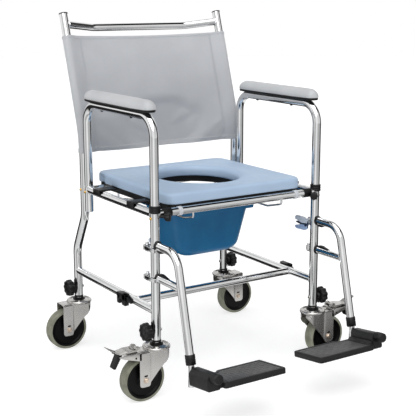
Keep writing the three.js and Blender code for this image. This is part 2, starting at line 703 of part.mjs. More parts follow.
function footTube() {
  const exit = hangerPoint(HANGER_END_Z - 12);
  const route = [hangerPoint(HANGER_STRUT_Z - 40), exit, [HALF_WIDTH, exit[1] + 2, 88]];
  const stub = tube(route, 26, FOOT_TUBE_R, 0, 16, 3);
  const rise = (ROLL_REAR_Y - ROLL_FRONT_Y) * Math.tan(PLATE_TILT);
  const pin = bar([HALF_WIDTH, ROLL_REAR_Y, ROLL_REAR_Z], [HALF_WIDTH, ROLL_FRONT_Y, ROLL_REAR_Z + rise],
    FOOT_PIN_R, 14);
  return join(stub, pin);
}

function footplate() {
  const length = (PLATE_REAR_Y - PLATE_FRONT_Y) / Math.cos(PLATE_TILT);
  const outline = roundedRect(PLATE_INNER_X, 0, PLATE_OUTER_X + 10, length, 14);
  const tread = slab(outline, -PLATE_THICK, 0, 0, 4);
  const blockEnd = length - BLOCK_SETBACK;
  const block = boxBetween([HALF_WIDTH - BLOCK_HALF_WIDTH, BLOCK_START, -PLATE_THICK - 3],
    [HALF_WIDTH + BLOCK_HALF_WIDTH, blockEnd, BLOCK_RISE]);
  const bridge = boxBetween([PLATE_OUTER_X - 4, BLOCK_START, -PLATE_THICK], [HALF_WIDTH - 10, blockEnd, 10]);
  // A notch in the rear outer corner clears the hanger when the plate is turned up.
  const notch = boxBetween([PLATE_OUTER_X - 34, -1, -PLATE_THICK - 1], [PLATE_OUTER_X + 12, 9, 1]);
  const roll = bar([HALF_WIDTH, BLOCK_START, rollOffset()],
    [HALF_WIDTH, length + ROLL_OVERHANG, rollOffset()], ROLL_R, 20);
  const bore = bar([HALF_WIDTH, -10, rollOffset()], [HALF_WIDTH, length + 20, rollOffset()],
    FOOT_PIN_R + GAP + 0.1, 14);
  const flat = cut(join(tread, block, bridge, roll), bore, notch);
  flat.rotateZ(Math.PI).scale(-1, 1, 1);
  flat.rotateX(-PLATE_TILT);
  return flat.translate(0, PLATE_REAR_Y, PLATE_REAR_TOP_Z);
}

// How far the hinge axis stands above the tread, square to it.
function rollOffset() {
  const axisHeight = ROLL_REAR_Z + (ROLL_REAR_Y - PLATE_REAR_Y) * Math.tan(PLATE_TILT);
  return (axisHeight - PLATE_REAR_TOP_Z) * Math.cos(PLATE_TILT);
}

function releaseLever() {
  const inner = HALF_WIDTH - TUBE_R - 12;
  const outline = [[-262, 424], [-250, 431], [-216, 431], [-206, 427], [-206, 419], [-240, 413], [-240, 407],
    [-206, 401], [-206, 394], [-216, 390], [-252, 392], [-262, 398]];
  return plateAcrossX(outline, inner, inner + 10);
}

function railCatch() {
  const x = HALF_WIDTH + RAIL_R + 0.5;
  const body = boxBetween([x, -140, LOWER_RAIL_Z - 18], [x + 14, -92, LOWER_RAIL_Z + 14]);
  const slot = boxBetween([x - 1, -120, LOWER_RAIL_Z - 20], [x + 16, -106, LOWER_RAIL_Z - 4]);
  return cut(body, slot);
}

// ---- all the pieces -----------------------------------------------------------------------------------
for (const [word, side] of SIDES) {
  const place = (name, geometry, material) => addPart(`${name}_${word}`, mirrored(geometry, side), material);
  place('front_leg', frontLeg(), CHROME);
  place('rear_upright', tube(uprightCorners, UPRIGHT_BENDS, TUBE_R, TUBE_BORE, 16, 3), CHROME);
  place('seat_rail', sideRail(), CHROME);
  place('lower_rail', lowerRail(), CHROME);
  place('pan_rail', panRail(), CHROME);
  place('arm_tube', armTube(), CHROME);
  place('arm_pad', armPad(), PAD_GREY);
  place('arm_pad_base', armPadBase(), BLACK);
  const collar = ring(TUBE_BORE, COLLAR_R, LEG_TOP + GAP, COLLAR_TOP, 20);
  place('arm_collar', collar.translate(HALF_WIDTH, FRONT_Y, 0), BLACK);
  place('arm_lock_knob', armLockKnob(), BLACK);
  place('footrest_hanger', hanger(), CHROME);
  place('foot_tube', footTube(), CHROME);
  place('footplate', footplate(), CHARCOAL);
  place('release_lever', releaseLever(), LEVER_BLUE);
  place('rail_catch', railCatch(), BLACK);
  place('brake_pedal', brakePedal(FRONT_Y), ZINC);
  for (const [end, y] of [['front', FRONT_Y], ['rear', REAR_Y]]) {
    place(`leg_stem_${end}`, stem(y), CHROME);
    place(`star_knob_${end}`, starKnob(y), BLACK);
    place(`castor_fork_${end}`, fork(y, end === 'front'), ZINC);
    place(`tyre_${end}`, tyre(y), TYRE);
    place(`hub_${end}`, hub(y), BLACK);
  }
}
addPart('lower_cross_bar', crossBar(LOWER_BAR_Y, LOWER_RAIL_Z, railCutter(LOWER_RAIL_Z)), CHROME);
const knobClearance = pointed(bar([0, 0, 5], [0, 0, 30], 4.6), [-1, -1, 0],
  [HALF_WIDTH, FRONT_Y, ARM_LOCK_Z]);
addPart('seat_front_bar', crossBar(FRONT_Y, SEAT_RAIL_Z, collaredLegCutter(), railCutter(SEAT_RAIL_Z),
  knobClearance), CHROME);
addPart('seat_rear_bar', crossBar(SOCKET_Y, SEAT_RAIL_Z, legCutter(SOCKET_Y),
  railCutter(SEAT_RAIL_Z)), CHROME);
addPart('push_bar', pushBar(), CHROME);
addPart('backrest_sling', sling(), SLING_GREY);
addPart('seat_pad', seatPad(), SEAT_BLUE);
addPart('seat_base', seatBase(), BLACK);
addPart('pan', pan(), PAN_BLUE);

export default chair;
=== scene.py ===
"""A wheeled commode chair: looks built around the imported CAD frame."""

import math

import bmesh
import bpy
from mathutils import Matrix, Vector

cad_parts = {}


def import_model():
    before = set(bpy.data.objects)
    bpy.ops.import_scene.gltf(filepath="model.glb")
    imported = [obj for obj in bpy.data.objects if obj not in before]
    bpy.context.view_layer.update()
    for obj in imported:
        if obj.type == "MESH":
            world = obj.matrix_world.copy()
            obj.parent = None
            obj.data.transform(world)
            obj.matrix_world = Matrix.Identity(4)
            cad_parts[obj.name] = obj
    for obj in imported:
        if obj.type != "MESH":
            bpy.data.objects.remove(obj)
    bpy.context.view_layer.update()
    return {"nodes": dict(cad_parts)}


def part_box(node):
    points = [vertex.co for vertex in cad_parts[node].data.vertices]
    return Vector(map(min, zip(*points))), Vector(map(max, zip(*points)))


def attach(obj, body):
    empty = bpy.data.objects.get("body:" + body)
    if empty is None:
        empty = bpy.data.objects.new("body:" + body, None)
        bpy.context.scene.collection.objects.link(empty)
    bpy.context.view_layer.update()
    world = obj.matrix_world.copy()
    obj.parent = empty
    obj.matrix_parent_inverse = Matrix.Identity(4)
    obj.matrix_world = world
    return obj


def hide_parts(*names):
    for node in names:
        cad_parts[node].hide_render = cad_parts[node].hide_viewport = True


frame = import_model()

# ---- sizes, in the chair's own millimetres -----------------------------------------------------------
# x runs to the sitter's left, -y to the front, z up. SHIFT_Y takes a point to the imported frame.
MM = 0.001
TUBE_R = 12.5
TUBE_BORE = 10.6
RAIL_R = 11.0
FRONT_Y = -270.0
LEG_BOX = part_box("front_leg_left")
SHIFT_Y = LEG_BOX[0].y / MM + TUBE_R - FRONT_Y
HALF = LEG_BOX[0].x / MM + TUBE_R


def middle(node):
    """The middle of a CAD node's box, in the chair's millimetres."""
    low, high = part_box(node)
    point = (low + high) / 2 / MM
    return Vector((point.x, point.y - SHIFT_Y, point.z))


def top_of(node):
    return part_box(node)[1].z / MM


REAR_Y = middle("leg_stem_rear_left").y
SOCKET_Y = middle("seat_rear_bar").y
LEG_BOTTOM = LEG_BOX[0].z / MM
LEG_TOP = LEG_BOX[1].z / MM
LOWER_RAIL_Z = middle("lower_rail_left").z
LOWER_BAR_Y = middle("lower_cross_bar").y
SEAT_RAIL_Z = middle("seat_rear_bar").z
UPRIGHT_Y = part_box("rear_upright_left")[0].y / MM - SHIFT_Y + TUBE_R
UPRIGHT_BEND_Z = 666.0
UPRIGHT_TOP = 1014.0
LEAN = math.radians(17.6)
UPRIGHT_BENDS = (70, 70, 260)
SLING_LOW, SLING_HIGH = 615.0, 950.0
SLEEVE_R = TUBE_R + 1.0
SEAM_IN = 38.0                    # how far in from the upright each sleeve is stitched shut
ARM_Z = 764.0
SEAT_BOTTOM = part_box("seat_pad_left" if "seat_pad_left" in frame["nodes"] else "seat_pad")[0].z / MM
SEAT_TOP = top_of("seat_pad")
SEAT_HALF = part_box("seat_pad")[1].x / MM
SEAT_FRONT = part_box("seat_pad")[0].y / MM - SHIFT_Y
SEAT_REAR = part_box("seat_pad")[1].y / MM - SHIFT_Y
HOLE_Y, HOLE_X_HALF, HOLE_Y_HALF = -50.0, 116.0, 134.0
PAN = middle("pan")
PAN_TOP, PAN_BOTTOM = top_of("pan"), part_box("pan")[0].z / MM
AXLE = middle("tyre_front_left")
WHEEL_R = AXLE.z
CROWN_TOP = top_of("castor_fork_rear_left")
KNOB_Z = middle("star_knob_front_left").z
PIN_X, PIN_Y = 276.0, -238.0
HANGER_TOP, STRUT_Z, HANGER_END = 425.0, 337.0, 149.0
HINGES = (HANGER_TOP - 10, STRUT_Z - 3)
HANGER_TILT = math.radians(13.3)
KNEE_Y = -380.0
PLATE_TILT = math.radians(8)
PLATE_REAR, PLATE_REAR_Z = Vector((0, -450)), 119.0
PLATE_LENGTH = 117 / math.cos(PLATE_TILT)
PLATE_X = (57.0, 246.0)


def upright_point(height):
    return (HALF, UPRIGHT_Y + (height - UPRIGHT_BEND_Z) * math.tan(LEAN), height)


def hanger_point(height):
    return (HALF, KNEE_Y - (HANGER_TOP - height) * math.tan(HANGER_TILT), height)


UPRIGHT_CORNERS = ((HALF, REAR_Y, LEG_BOTTOM), (HALF, REAR_Y, 315), (HALF, UPRIGHT_Y, 427),
                   (HALF, UPRIGHT_Y, UPRIGHT_BEND_Z), upright_point(UPRIGHT_TOP))


# ---- materials ---------------------------------------------------------------------------------------
def linear(r, g, b):
    """A colour given in 0 to 255 display values."""
    return tuple((c / 255 / 12.92) if c < 10.3 else ((c / 255 + 0.055) / 1.055) ** 2.4 for c in (r, g, b)) + (1,)


class Finish:
    """A principled material whose colour, roughness and relief come from object-space patterns."""

    def __init__(self, name, metallic=0.0, **sockets):
        self.material = bpy.data.materials.new(name)
        self.material.use_nodes = True
        self.tree = self.material.node_tree
        self.shader = self.tree.nodes["Principled BSDF"]
        self.shader.inputs["Metallic"].default_value = metallic
        for key, value in sockets.items():
            self.shader.inputs[key.replace("_", " ")].default_value = value
        self.place = self.node("ShaderNodeTexCoord").outputs["Object"]

    def node(self, kind, **settings):
        made = self.tree.nodes.new(kind)
        for key, value in settings.items():
            setattr(made, key, value)
        return made

    def link(self, a, b):
        self.tree.links.new(a, b)

    def stretched(self, scale):
        mapping = self.node("ShaderNodeMapping")
        mapping.inputs["Scale"].default_value = scale
        self.link(self.place, mapping.inputs["Vector"])
        return mapping.outputs["Vector"]

    def noise(self, scale, detail=4.0, stretch=None):
        made = self.node("ShaderNodeTexNoise")
        made.inputs["Scale"].default_value = scale
        made.inputs["Detail"].default_value = detail
        self.link(self.stretched(stretch) if stretch else self.place, made.inputs["Vector"])
        return made.outputs["Fac"]

    def ramp(self, source, *stops):
        made = self.node("ShaderNodeValToRGB")
        elements = made.color_ramp.elements
        while len(elements) < len(stops):
            elements.new(0.5)
        for element, (where, value) in zip(elements, stops):
            element.position = where
            element.color = value if len(value) == 4 else (*value, 1)
        self.link(source, made.inputs["Fac"])
        return made.outputs["Color"]

    def colour(self, source, dark, light, low=0.3, high=0.7):
        self.link(self.ramp(source, (low, dark), (high, light)), self.shader.inputs["Base Color"])

    def roughness(self, source, low, high, start=0.3, end=0.7):
        spread = self.node("ShaderNodeMapRange")
        for key, value in (("From Min", start), ("From Max", end), ("To Min", low), ("To Max", high)):
            spread.inputs[key].default_value = value
        self.link(source, spread.inputs["Value"])
        self.link(spread.outputs["Result"], self.shader.inputs["Roughness"])

    def relief(self, *layers):
        """Each layer is a height, its strength and its depth in metres."""
        before = None
        for height, strength, depth in layers:
            bump = self.node("ShaderNodeBump")
            bump.inputs["Strength"].default_value = strength
            bump.inputs["Distance"].default_value = depth
            self.link(height, bump.inputs["Height"])
            if before is not None:
                self.link(before, bump.inputs["Normal"])
            before = bump.outputs["Normal"]
        self.link(before, self.shader.inputs["Normal"])

    def cells(self, scale, feature="F1"):
        made = self.node("ShaderNodeTexVoronoi", feature=feature)
        made.inputs["Scale"].default_value = scale
        self.link(self.place, made.inputs["Vector"])
        return made.outputs["Distance"]

    def threads(self, direction, scale):
        made = self.node("ShaderNodeTexWave", bands_direction=direction)
        made.inputs["Scale"].default_value = scale
        made.inputs["Distortion"].default_value = 0.6
        made.inputs["Detail Scale"].default_value = 4.0
        self.link(self.place, made.inputs["Vector"])
        return made.outputs["Fac"]


def chrome():
    f = Finish("chrome", metallic=1.0)
    cloud = f.noise(9.0, 5.0)
    f.colour(cloud, linear(226, 227, 228), linear(243, 243, 243))
    f.roughness(f.noise(38.0, 6.0), 0.045, 0.11)
    f.relief((f.noise(26.0, 2.0), 0.05, 0.0012), (f.noise(900.0, 2.0), 0.03, 0.0001))
    return f.material


def zinc():
    f = Finish("zinc_steel", metallic=0.92)
    grain = f.noise(140.0, 6.0, (1, 1, 0.06))
    f.colour(f.noise(14.0, 3.0), linear(190, 188, 185), linear(202, 200, 197))
    f.roughness(grain, 0.20, 0.28)
    f.relief((grain, 0.03, 0.0001), (f.noise(500.0, 3.0), 0.03, 0.0001))
    return f.material


def moulded(name, dark, light, roughness, grain=700.0, depth=0.00012, strength=0.25, **sockets):
    """Moulded plastic with a fine spark-eroded grain."""
    f = Finish(name, **sockets)
    f.colour(f.noise(16.0, 6.0), dark, light)
    f.roughness(f.noise(60.0, 5.0), *roughness)
    f.relief((f.cells(grain), strength, depth), (f.noise(grain * 0.5, 3.0), strength * 0.6, depth))
    return f.material


def tyre_rubber():
    f = Finish("tyre")
    scuff = f.noise(45.0, 8.0)
    f.colour(scuff, linear(112, 113, 98), linear(134, 135, 119), 0.35, 0.6)
    f.roughness(f.noise(90.0, 4.0), 0.5, 0.72)
    f.relief((f.noise(420.0, 4.0), 0.22, 0.0002))
    return f.material


def sling_cloth():
    f = Finish("sling_cloth", Sheen_Weight=0.18, Sheen_Roughness=0.5)
    f.colour(f.noise(7.0, 6.0), linear(182, 184, 188), linear(193, 195, 199))
    # Painted shade: the cloth's colour darkens towards the seat, standing in for the lower light there.
    split, painted_shade, mix = (f.node("ShaderNodeSeparateXYZ"), f.node("ShaderNodeMapRange"),
                        f.node("ShaderNodeMix", data_type="RGBA", blend_type="MULTIPLY"))
    f.link(f.place, split.inputs[0])
    f.link(split.outputs["Z"], painted_shade.inputs["Value"])
    for key, value in (("From Min", 0.62), ("From Max", 0.90), ("To Min", 0.76), ("To Max", 1.0)):
        painted_shade.inputs[key].default_value = value
    f.link(f.shader.inputs["Base Color"].links[0].from_socket, mix.inputs[6])
    f.link(painted_shade.outputs["Result"], mix.inputs[7])
    mix.inputs[0].default_value = 1.0
    f.link(mix.outputs[2], f.shader.inputs["Base Color"])
    f.roughness(f.noise(220.0, 4.0), 0.62, 0.82)
    warp, weft = f.threads("X", 520.0), f.threads("Z", 520.0)
    f.relief((warp, 0.22, 0.00022), (weft, 0.22, 0.00022), (f.noise(18.0, 3.0), 0.12, 0.0015))
    return f.material


def foam_skin(name, dark, light):
    """The skin of a moulded polyurethane foam part."""
    f = Finish(name, Coat_Weight=0.08, Coat_Roughness=0.4)
    f.colour(f.noise(9.0, 7.0), dark, light)
    f.roughness(f.noise(70.0, 5.0), 0.42, 0.56)
    f.relief((f.cells(520.0), 0.22, 0.00022), (f.noise(240.0, 3.0), 0.15, 0.0003))
    return f.material


def metal(name, dark, light, low, high):
    f = Finish(name, metallic=1.0)
    f.colour(f.noise(120.0, 5.0), dark, light)
    f.roughness(f.noise(200.0, 4.0), low, high)
    f.relief((f.noise(700.0, 3.0), 0.12, 0.0001))
    return f.material


CHROME = chrome()
ZINC = zinc()
BLACK = moulded("black_plastic", linear(7, 7, 7), linear(14, 14, 14), (0.34, 0.48), Specular_IOR_Level=0.35)
RUBBER = moulded("black_rubber", linear(7, 7, 7), linear(13, 13, 13), (0.5, 0.65), 1100.0, Specular_IOR_Level=0.25)
HUB = moulded("hub_plastic", linear(3, 3, 3), linear(7, 7, 7), (0.3, 0.42), 900.0, Specular_IOR_Level=0.15)
CHARCOAL = moulded("footplate_plastic", linear(16, 16, 16), linear(25, 25, 25), (0.42, 0.54), 900.0, 0.0002, 0.4,
                   Specular_IOR_Level=0.4)
TREAD = moulded("tread_plastic", linear(62, 62, 62), linear(76, 76, 76), (0.4, 0.52), 640.0, 0.0002, 0.4)
PAN_BLUE = moulded("pan_plastic", linear(4, 92, 140), linear(12, 104, 152), (0.34, 0.44), 500.0, 0.00008, 0.12,
                   Specular_IOR_Level=0.3)
LEVER_BLUE = moulded("lever_plastic", linear(140, 165, 205), linear(166, 188, 222), (0.35, 0.45))
LEVER_PALE = moulded("lever_pale_plastic", linear(176, 188, 204), linear(196, 205, 217), (0.35, 0.45))
NAVY = moulded("navy_plastic", linear(22, 38, 66), linear(32, 50, 82), (0.4, 0.5))
CLEAR = moulded("pale_plastic", linear(188, 192, 198), linear(208, 211, 215), (0.25, 0.35))
TYRE = tyre_rubber()
CLOTH = sling_cloth()
THREAD = moulded("thread", linear(176, 179, 184), linear(192, 195, 200), (0.6, 0.7), 2400.0)
SEAT_FOAM = foam_skin("seat_foam", linear(164, 186, 211), linear(171, 193, 217))
ARM_FOAM = foam_skin("arm_foam", linear(186, 188, 191), linear(196, 198, 200))
BRASS = metal("brass", linear(196, 152, 70), linear(228, 190, 110), 0.2, 0.34)
COPPERY = metal("coppery_zinc", linear(206, 190, 174), linear(226, 212, 198), 0.22, 0.36)


# ---- mesh building -----------------------------------------------------------------------------------
def circle(radius, sides=36):
    return [(radius * math.cos(2 * math.pi * i / sides), radius * math.sin(2 * math.pi * i / sides))
            for i in range(sides)]


def bent(corners, bends, steps=10):
    """(point, direction) along straight stretches joined by arcs."""
    corners = [Vector(c) for c in corners]
    count = len(corners) - 2
    bends = list(bends) if hasattr(bends, "__len__") else [bends] * count
    out = [(corners[0], (corners[1] - corners[0]).normalized())]
    for before, corner, after, radius in zip(corners, corners[1:], corners[2:], bends):
        arriving, leaving = (corner - before).normalized(), (after - corner).normalized()
        angle = arriving.angle(leaving)
        start = corner - arriving * radius * math.tan(angle / 2)
        sideways = (leaving - arriving * leaving.dot(arriving)).normalized()
        for i in range(steps + 1):
            turn = angle * i / steps
            point = start + arriving * radius * math.sin(turn) + sideways * radius * (1 - math.cos(turn))
            out.append((point, arriving * math.cos(turn) + sideways * math.sin(turn)))
    out.append((corners[-1], (corners[-1] - corners[-2]).normalized()))
    return out


def rounded(points, radius, steps=4):
    """A closed 2-D outline with its corners rounded."""
    out = []
    count = len(points)
    for i, corner in enumerate(points):
        corner = Vector(corner)
        before, after = Vector(points[i - 1]) - corner, Vector(points[(i + 1) % count]) - corner
        angle = before.angle(after)
        reach = min(radius / math.tan(angle / 2), before.length * 0.45, after.length * 0.45)
        start, end = corner + before.normalized() * reach, corner + after.normalized() * reach
        for k in range(steps + 1):
            t = k / steps
            out.append(tuple(start * (1 - t) ** 2 + corner * 2 * t * (1 - t) + end * t * t))
    return out


def inset(outline, distance):
    """The outline moved inwards. It runs counter-clockwise."""
    out = []
    count = len(outline)
    for i, (x, y) in enumerate(outline):
        x0, y0 = outline[i - 1]
        x1, y1 = outline[(i + 1) % count]
        a, b = Vector((x - x0, y - y0)), Vector((x1 - x, y1 - y))
        if a.length < 1e-6 or b.length < 1e-6:
            a = b = a if a.length > b.length else b
        a.normalize()
        b.normalize()
        normal = Vector((-a.y - b.y, a.x + b.x))
        lengthened = max(0.5, normal.length_squared / 2)
        normal /= lengthened
        out.append((x + normal.x * distance, y + normal.y * distance))
    return out


def area_of(outline):
    return sum(a[0] * b[1] - b[0] * a[1] for a, b in zip(outline, outline[1:] + outline[:1])) / 2


def round_rect(half_x, half_y, radius, steps=8, centre=(0.0, 0.0), straight=0):
    """A rounded rectangle with the same number of points whatever its size."""
    out = []
    for k, (sx, sy) in enumerate(((1, 1), (-1, 1), (-1, -1), (1, -1))):
        cx, cy = centre[0] + sx * (half_x - radius), centre[1] + sy * (half_y - radius)
        for i in range(steps + 1):
            angle = math.pi / 2 * (k + i / steps)
            out.append((cx + radius * math.cos(angle), cy + radius * math.sin(angle)))
    if straight:
        filled = []
        for i, point in enumerate(out):
            filled.append(point)
            if i % (steps + 1) == steps:
                after = out[(i + 1) % len(out)]
                for j in range(1, straight):
                    t = j / straight
                    filled.append((point[0] + (after[0] - point[0]) * t, point[1] + (after[1] - point[1]) * t))
        out = filled
    return out


class Form:
    """Closed shells collected into one piece, in the chair's millimetres on the sitter's left."""

    def __init__(self):
        self.points, self.faces = [], []

    def add(self, points, faces):
        base = len(self.points)
        self.points += [Vector(p) for p in points]
        self.faces += [tuple(base + i for i in face) for face in faces]
        return self

    def skin(self, rings, ends=True, loop=False):
        """Joins rings of equal length, and closes the first and last or joins them."""
        n = len(rings[0])
        points = [p for ring in rings for p in ring]
        faces = []
        pairs = list(range(len(rings) - 1)) + ([len(rings) - 1] if loop else [])
        for r in pairs:
            s = (r + 1) % len(rings)
            faces += [(r * n + i, r * n + (i + 1) % n, s * n + (i + 1) % n, s * n + i) for i in range(n)]
        if ends and not loop:
            faces.append(tuple(reversed(range(n))))
            faces.append(tuple((len(rings) - 1) * n + i for i in range(n)))
        return self.add(points, faces)

    def sweep(self, stations, section_at, ends=True, loop=False):
        """Carries a section along stations of (point, direction). section_at gives it at each index."""
        direction = stations[0][1]
        side = direction.orthogonal().normalized()
        rings = []
        for k, (point, ahead) in enumerate(stations):
            side = direction.rotation_difference(ahead) @ side
            side = (side - ahead * side.dot(ahead)).normalized()
            direction = ahead
            up = ahead.cross(side)
            rings.append([point + side * a + up * b for a, b in section_at(k)])
        return self.skin(rings, ends, loop)

    def tube(self, corners, radius, bends=0, bore=0, sides=36, steps=10, edge=0.7, depth=24):
        """A round tube with softened ends, open at both where it has a bore."""
        stations = bent(corners, bends, steps)
        (start, out), (end, ahead) = stations[0], stations[-1]
        first = [(start, out, radius - edge), (start + out * edge, out, radius)]
        last = [(end - ahead * edge, ahead, radius), (end, ahead, radius - edge)]
        if bore:
            first = [(start + out * depth, out, bore), (start + out * edge, out, bore), (start, out, bore + 0.3)] + first
            last = last + [(end, ahead, bore + 0.3), (end - ahead * edge, ahead, bore), (end - ahead * depth, ahead, bore)]
        full = first + [(p, d, radius) for p, d in stations[1:-1]] + last
        rounds = [circle(r, sides) for _, _, r in full]
        return self.sweep([(p, d) for p, d, _ in full], lambda k: rounds[k])

    def lathe(self, profile, base, direction=(0, 0, 1), sides=40, loop=False):
        """A turned solid. Each profile point is (radius, height above the base)."""
        direction = Vector(direction).normalized()
        stations = [(Vector(base) + direction * height, direction) for _, height in profile]
        rounds = [circle(max(radius, 0.05), sides) for radius, _ in profile]
        return self.sweep(stations, lambda k: rounds[k], ends=not loop, loop=loop)

    def prism(self, outline, low, high, place, edge=0.8):
        """A flat outline thickened from low to high with softened edges. place takes (u, v, w) to a point."""
        outline = list(outline)
        if area_of(outline) < 0:
            outline.reverse()
        soft, half = inset(outline, edge), inset(outline, edge * 0.3)
        levels = [(soft, low), (half, low + edge * 0.3), (outline, low + edge), (outline, high - edge),
                  (half, high - edge * 0.3), (soft, high)]
        return self.skin([[Vector(place(u, v, w)) for u, v in ring] for ring, w in levels])

    def box(self, low, high, edge=1.0, turn=None, segments=2):
        """A box with softened edges, turned about its middle by a matrix where one is given."""
        mesh = bmesh.new()
        bmesh.ops.create_cube(mesh, size=1.0)
        low, high = Vector(low), Vector(high)
        size, centre = high - low, (low + high) / 2
        for v in mesh.verts:
            v.co = Vector(v.co[i] * size[i] for i in range(3))
        bmesh.ops.bevel(mesh, geom=list(mesh.edges), offset=min(edge, min(size) * 0.45), segments=segments,
                        profile=0.5, affect="EDGES")
        mesh.verts.index_update()
        points = [centre + (turn @ v.co if turn else v.co) for v in mesh.verts]
        faces = [[v.index for v in face.verts] for face in mesh.faces]
        mesh.free()
        return self.add(points, faces)

    def weld(self, base, direction, radius, host_radius, host=(0, 0, 1), bead=1.5):
        """A bead of weld where a round rail meets a round tube. base is on the tube's centre line."""
        direction, host = Vector(direction).normalized(), Vector(host).normalized()
        side = host.cross(direction)
        points = []
        for i in range(40):
            angle = 2 * math.pi * i / 40
            a, b = radius * math.cos(angle), radius * math.sin(angle)
            out = math.sqrt(max(host_radius ** 2 - a * a, 0.0))
            points.append(Vector(base) + side * a + host * b + direction * out)
        rings = []
        for i, point in enumerate(points):
            ahead = (points[(i + 1) % 40] - points[i - 1]).normalized()
            outward = (point - Vector(base) - direction * (point - Vector(base)).dot(direction)).normalized()
            up = ahead.cross(outward).normalized()
            swell = bead * (1 + 0.12 * math.sin(i * 2.4))
            rings.append([point + outward * a * swell + up * b * swell for a, b in circle(1.0, 8)])
        return self.skin(rings, loop=True)

    def moved(self, matrix):
        self.points = [matrix @ p for p in self.points]
        return self

    def copies(self, *matrices):
        points, faces = list(self.points), list(self.faces)
        self.points, self.faces = [], []
        for matrix in matrices:
            self.add([matrix @ p for p in points], faces)
        return self

    def piece(self, name, material, body, slot=None, replaces=(), side=1, sharp=32, smooth=0):
        """Makes the Blender object, on the sitter's left for side 1 and on the right for side -1."""
        mesh = bpy.data.meshes.new(name)
        points = [((p.x * side) * MM, (p.y + SHIFT_Y) * MM, p.z * MM) for p in self.points]
        mesh.from_pydata(points, [], self.faces)
        work = bmesh.new()
        work.from_mesh(mesh)
        bmesh.ops.recalc_face_normals(work, faces=work.faces)
        work.to_mesh(mesh)
        work.free()
        mesh.shade_smooth()
        mesh.set_sharp_from_angle(angle=math.radians(sharp))
        mesh.materials.append(material)
        made = bpy.data.objects.new(name, mesh)
        bpy.context.scene.collection.objects.link(made)
        if smooth:
            modifier = made.modifiers.new("smooth", "SUBSURF")
            modifier.levels = modifier.render_levels = smooth
        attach(made, body)
        if replaces:
            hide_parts(*replaces)
        return made


def along(base, direction, up=(0, 0, 1)):
    """A matrix that takes +Z to a direction and moves the origin to a point."""
    z = Vector(direction).normalized()
    x = Vector(up).cross(z)
    if x.length < 1e-6:
        x = Vector((1, 0, 0))
    x.normalize()
    y = z.cross(x)
    turn = Matrix((x, y, z)).transposed().to_4x4()
    return Matrix.Translation(Vector(base)) @ turn


SIDES = (("left", 1), ("right", -1))


def yz(x0):
    """Takes an outline in y and z, thickened along x from x0."""
    return lambda u, v, w: (x0 + w, u, v)


def xz(y0):
    return lambda u, v, w: (u, y0 + w, v)


def xy(z0):
    return lambda u, v, w: (u, v, z0 + w)


# ---- chromed frame -----------------------------------------------------------------------------------
def front_leg(word, side):
    leg = Form().tube([(HALF, FRONT_Y, LEG_BOTTOM), (HALF, FRONT_Y, LEG_TOP)], TUBE_R, bore=TUBE_BORE, depth=165)
    for height in HINGES:
        leg.box((PIN_X - 5, FRONT_Y + TUBE_R - 1.4, height - 11), (PIN_X + 5, PIN_Y + 5, height - 8), 1.0)
        leg.tube([(PIN_X, PIN_Y, height - 9), (PIN_X, PIN_Y, height + 12)], 3.5, sides=20)
        leg.lathe([(0, 0), (4.6, 0.2), (5.0, 1.2), (4.2, 2.4), (0, 2.8)], (PIN_X, PIN_Y, height + 9.4), sides=20)
    leg.piece(f"front_leg_tube_{word}", CHROME, "frame", "chrome_tube", [f"front_leg_{word}"], side)


def end_ring(form, y):
    """The black bush between a leg and its telescopic stem."""
    return form.lathe([(10.6, 0), (12.6, 0), (13.4, 0.8), (13.4, 3.4), (12.8, 4.2), (12.8, 5.4), (10.6, 5.6)],
                      (HALF, y, LEG_BOTTOM - 4.5), loop=True)


def rear_upright(word, side):
    tube = Form().tube(UPRIGHT_CORNERS, TUBE_R, UPRIGHT_BENDS, bore=TUBE_BORE, steps=18, depth=132)
    tube.piece(f"rear_upright_tube_{word}", CHROME, "frame", "chrome_tube", [f"rear_upright_{word}"], side)
    ahead = (0, math.sin(LEAN), math.cos(LEAN))
    top = Vector(upright_point(UPRIGHT_TOP)) - Vector(ahead) * 0.4
    cap = Form().lathe([(9.8, -14), (10.3, -13), (10.3, 0), (13.1, 0), (13.5, 0.7), (13.5, 1.9), (12.6, 2.9),
                        (8, 3.7), (0, 4.0)], top, ahead)
    cap.piece(f"upright_cap_{word}", BLACK, "frame", "black_plastic", side=side)


def seat_rail(word, side):
    rail = Form().tube([(HALF, FRONT_Y + 9, SEAT_RAIL_Z), (HALF, SOCKET_Y - 9, SEAT_RAIL_Z)], RAIL_R)
    rail.lathe([(TUBE_BORE, 0), (TUBE_R - 0.7, 0), (TUBE_R, 0.7), (TUBE_R, 76.3), (TUBE_R - 0.7, 77), (TUBE_BORE, 77)],
               (HALF, SOCKET_Y, 444), loop=True)
    for low in (454, 497):
        rail.box((HALF - 4, SOCKET_Y + 9, low), (HALF + 4, UPRIGHT_Y - 10, low + 12), 1.2)
    rail.weld((HALF, SOCKET_Y, SEAT_RAIL_Z), (0, -1, 0), RAIL_R, TUBE_R)
    rail.weld((HALF, FRONT_Y, SEAT_RAIL_Z), (0, 1, 0), RAIL_R, TUBE_R)
    rail.piece(f"seat_rail_tube_{word}", CHROME, "frame", "chrome_tube", [f"seat_rail_{word}"], side)


def lower_rail(word, side):
    rail = Form().tube([(HALF, FRONT_Y + 9, LOWER_RAIL_Z), (HALF, REAR_Y - 9, LOWER_RAIL_Z)], RAIL_R)
    rail.weld((HALF, FRONT_Y, LOWER_RAIL_Z), (0, 1, 0), RAIL_R, TUBE_R)
    rail.weld((HALF, REAR_Y, LOWER_RAIL_Z), (0, -1, 0), RAIL_R, TUBE_R)
    rail.piece(f"lower_rail_tube_{word}", CHROME, "frame", "chrome_tube", [f"lower_rail_{word}"], side)


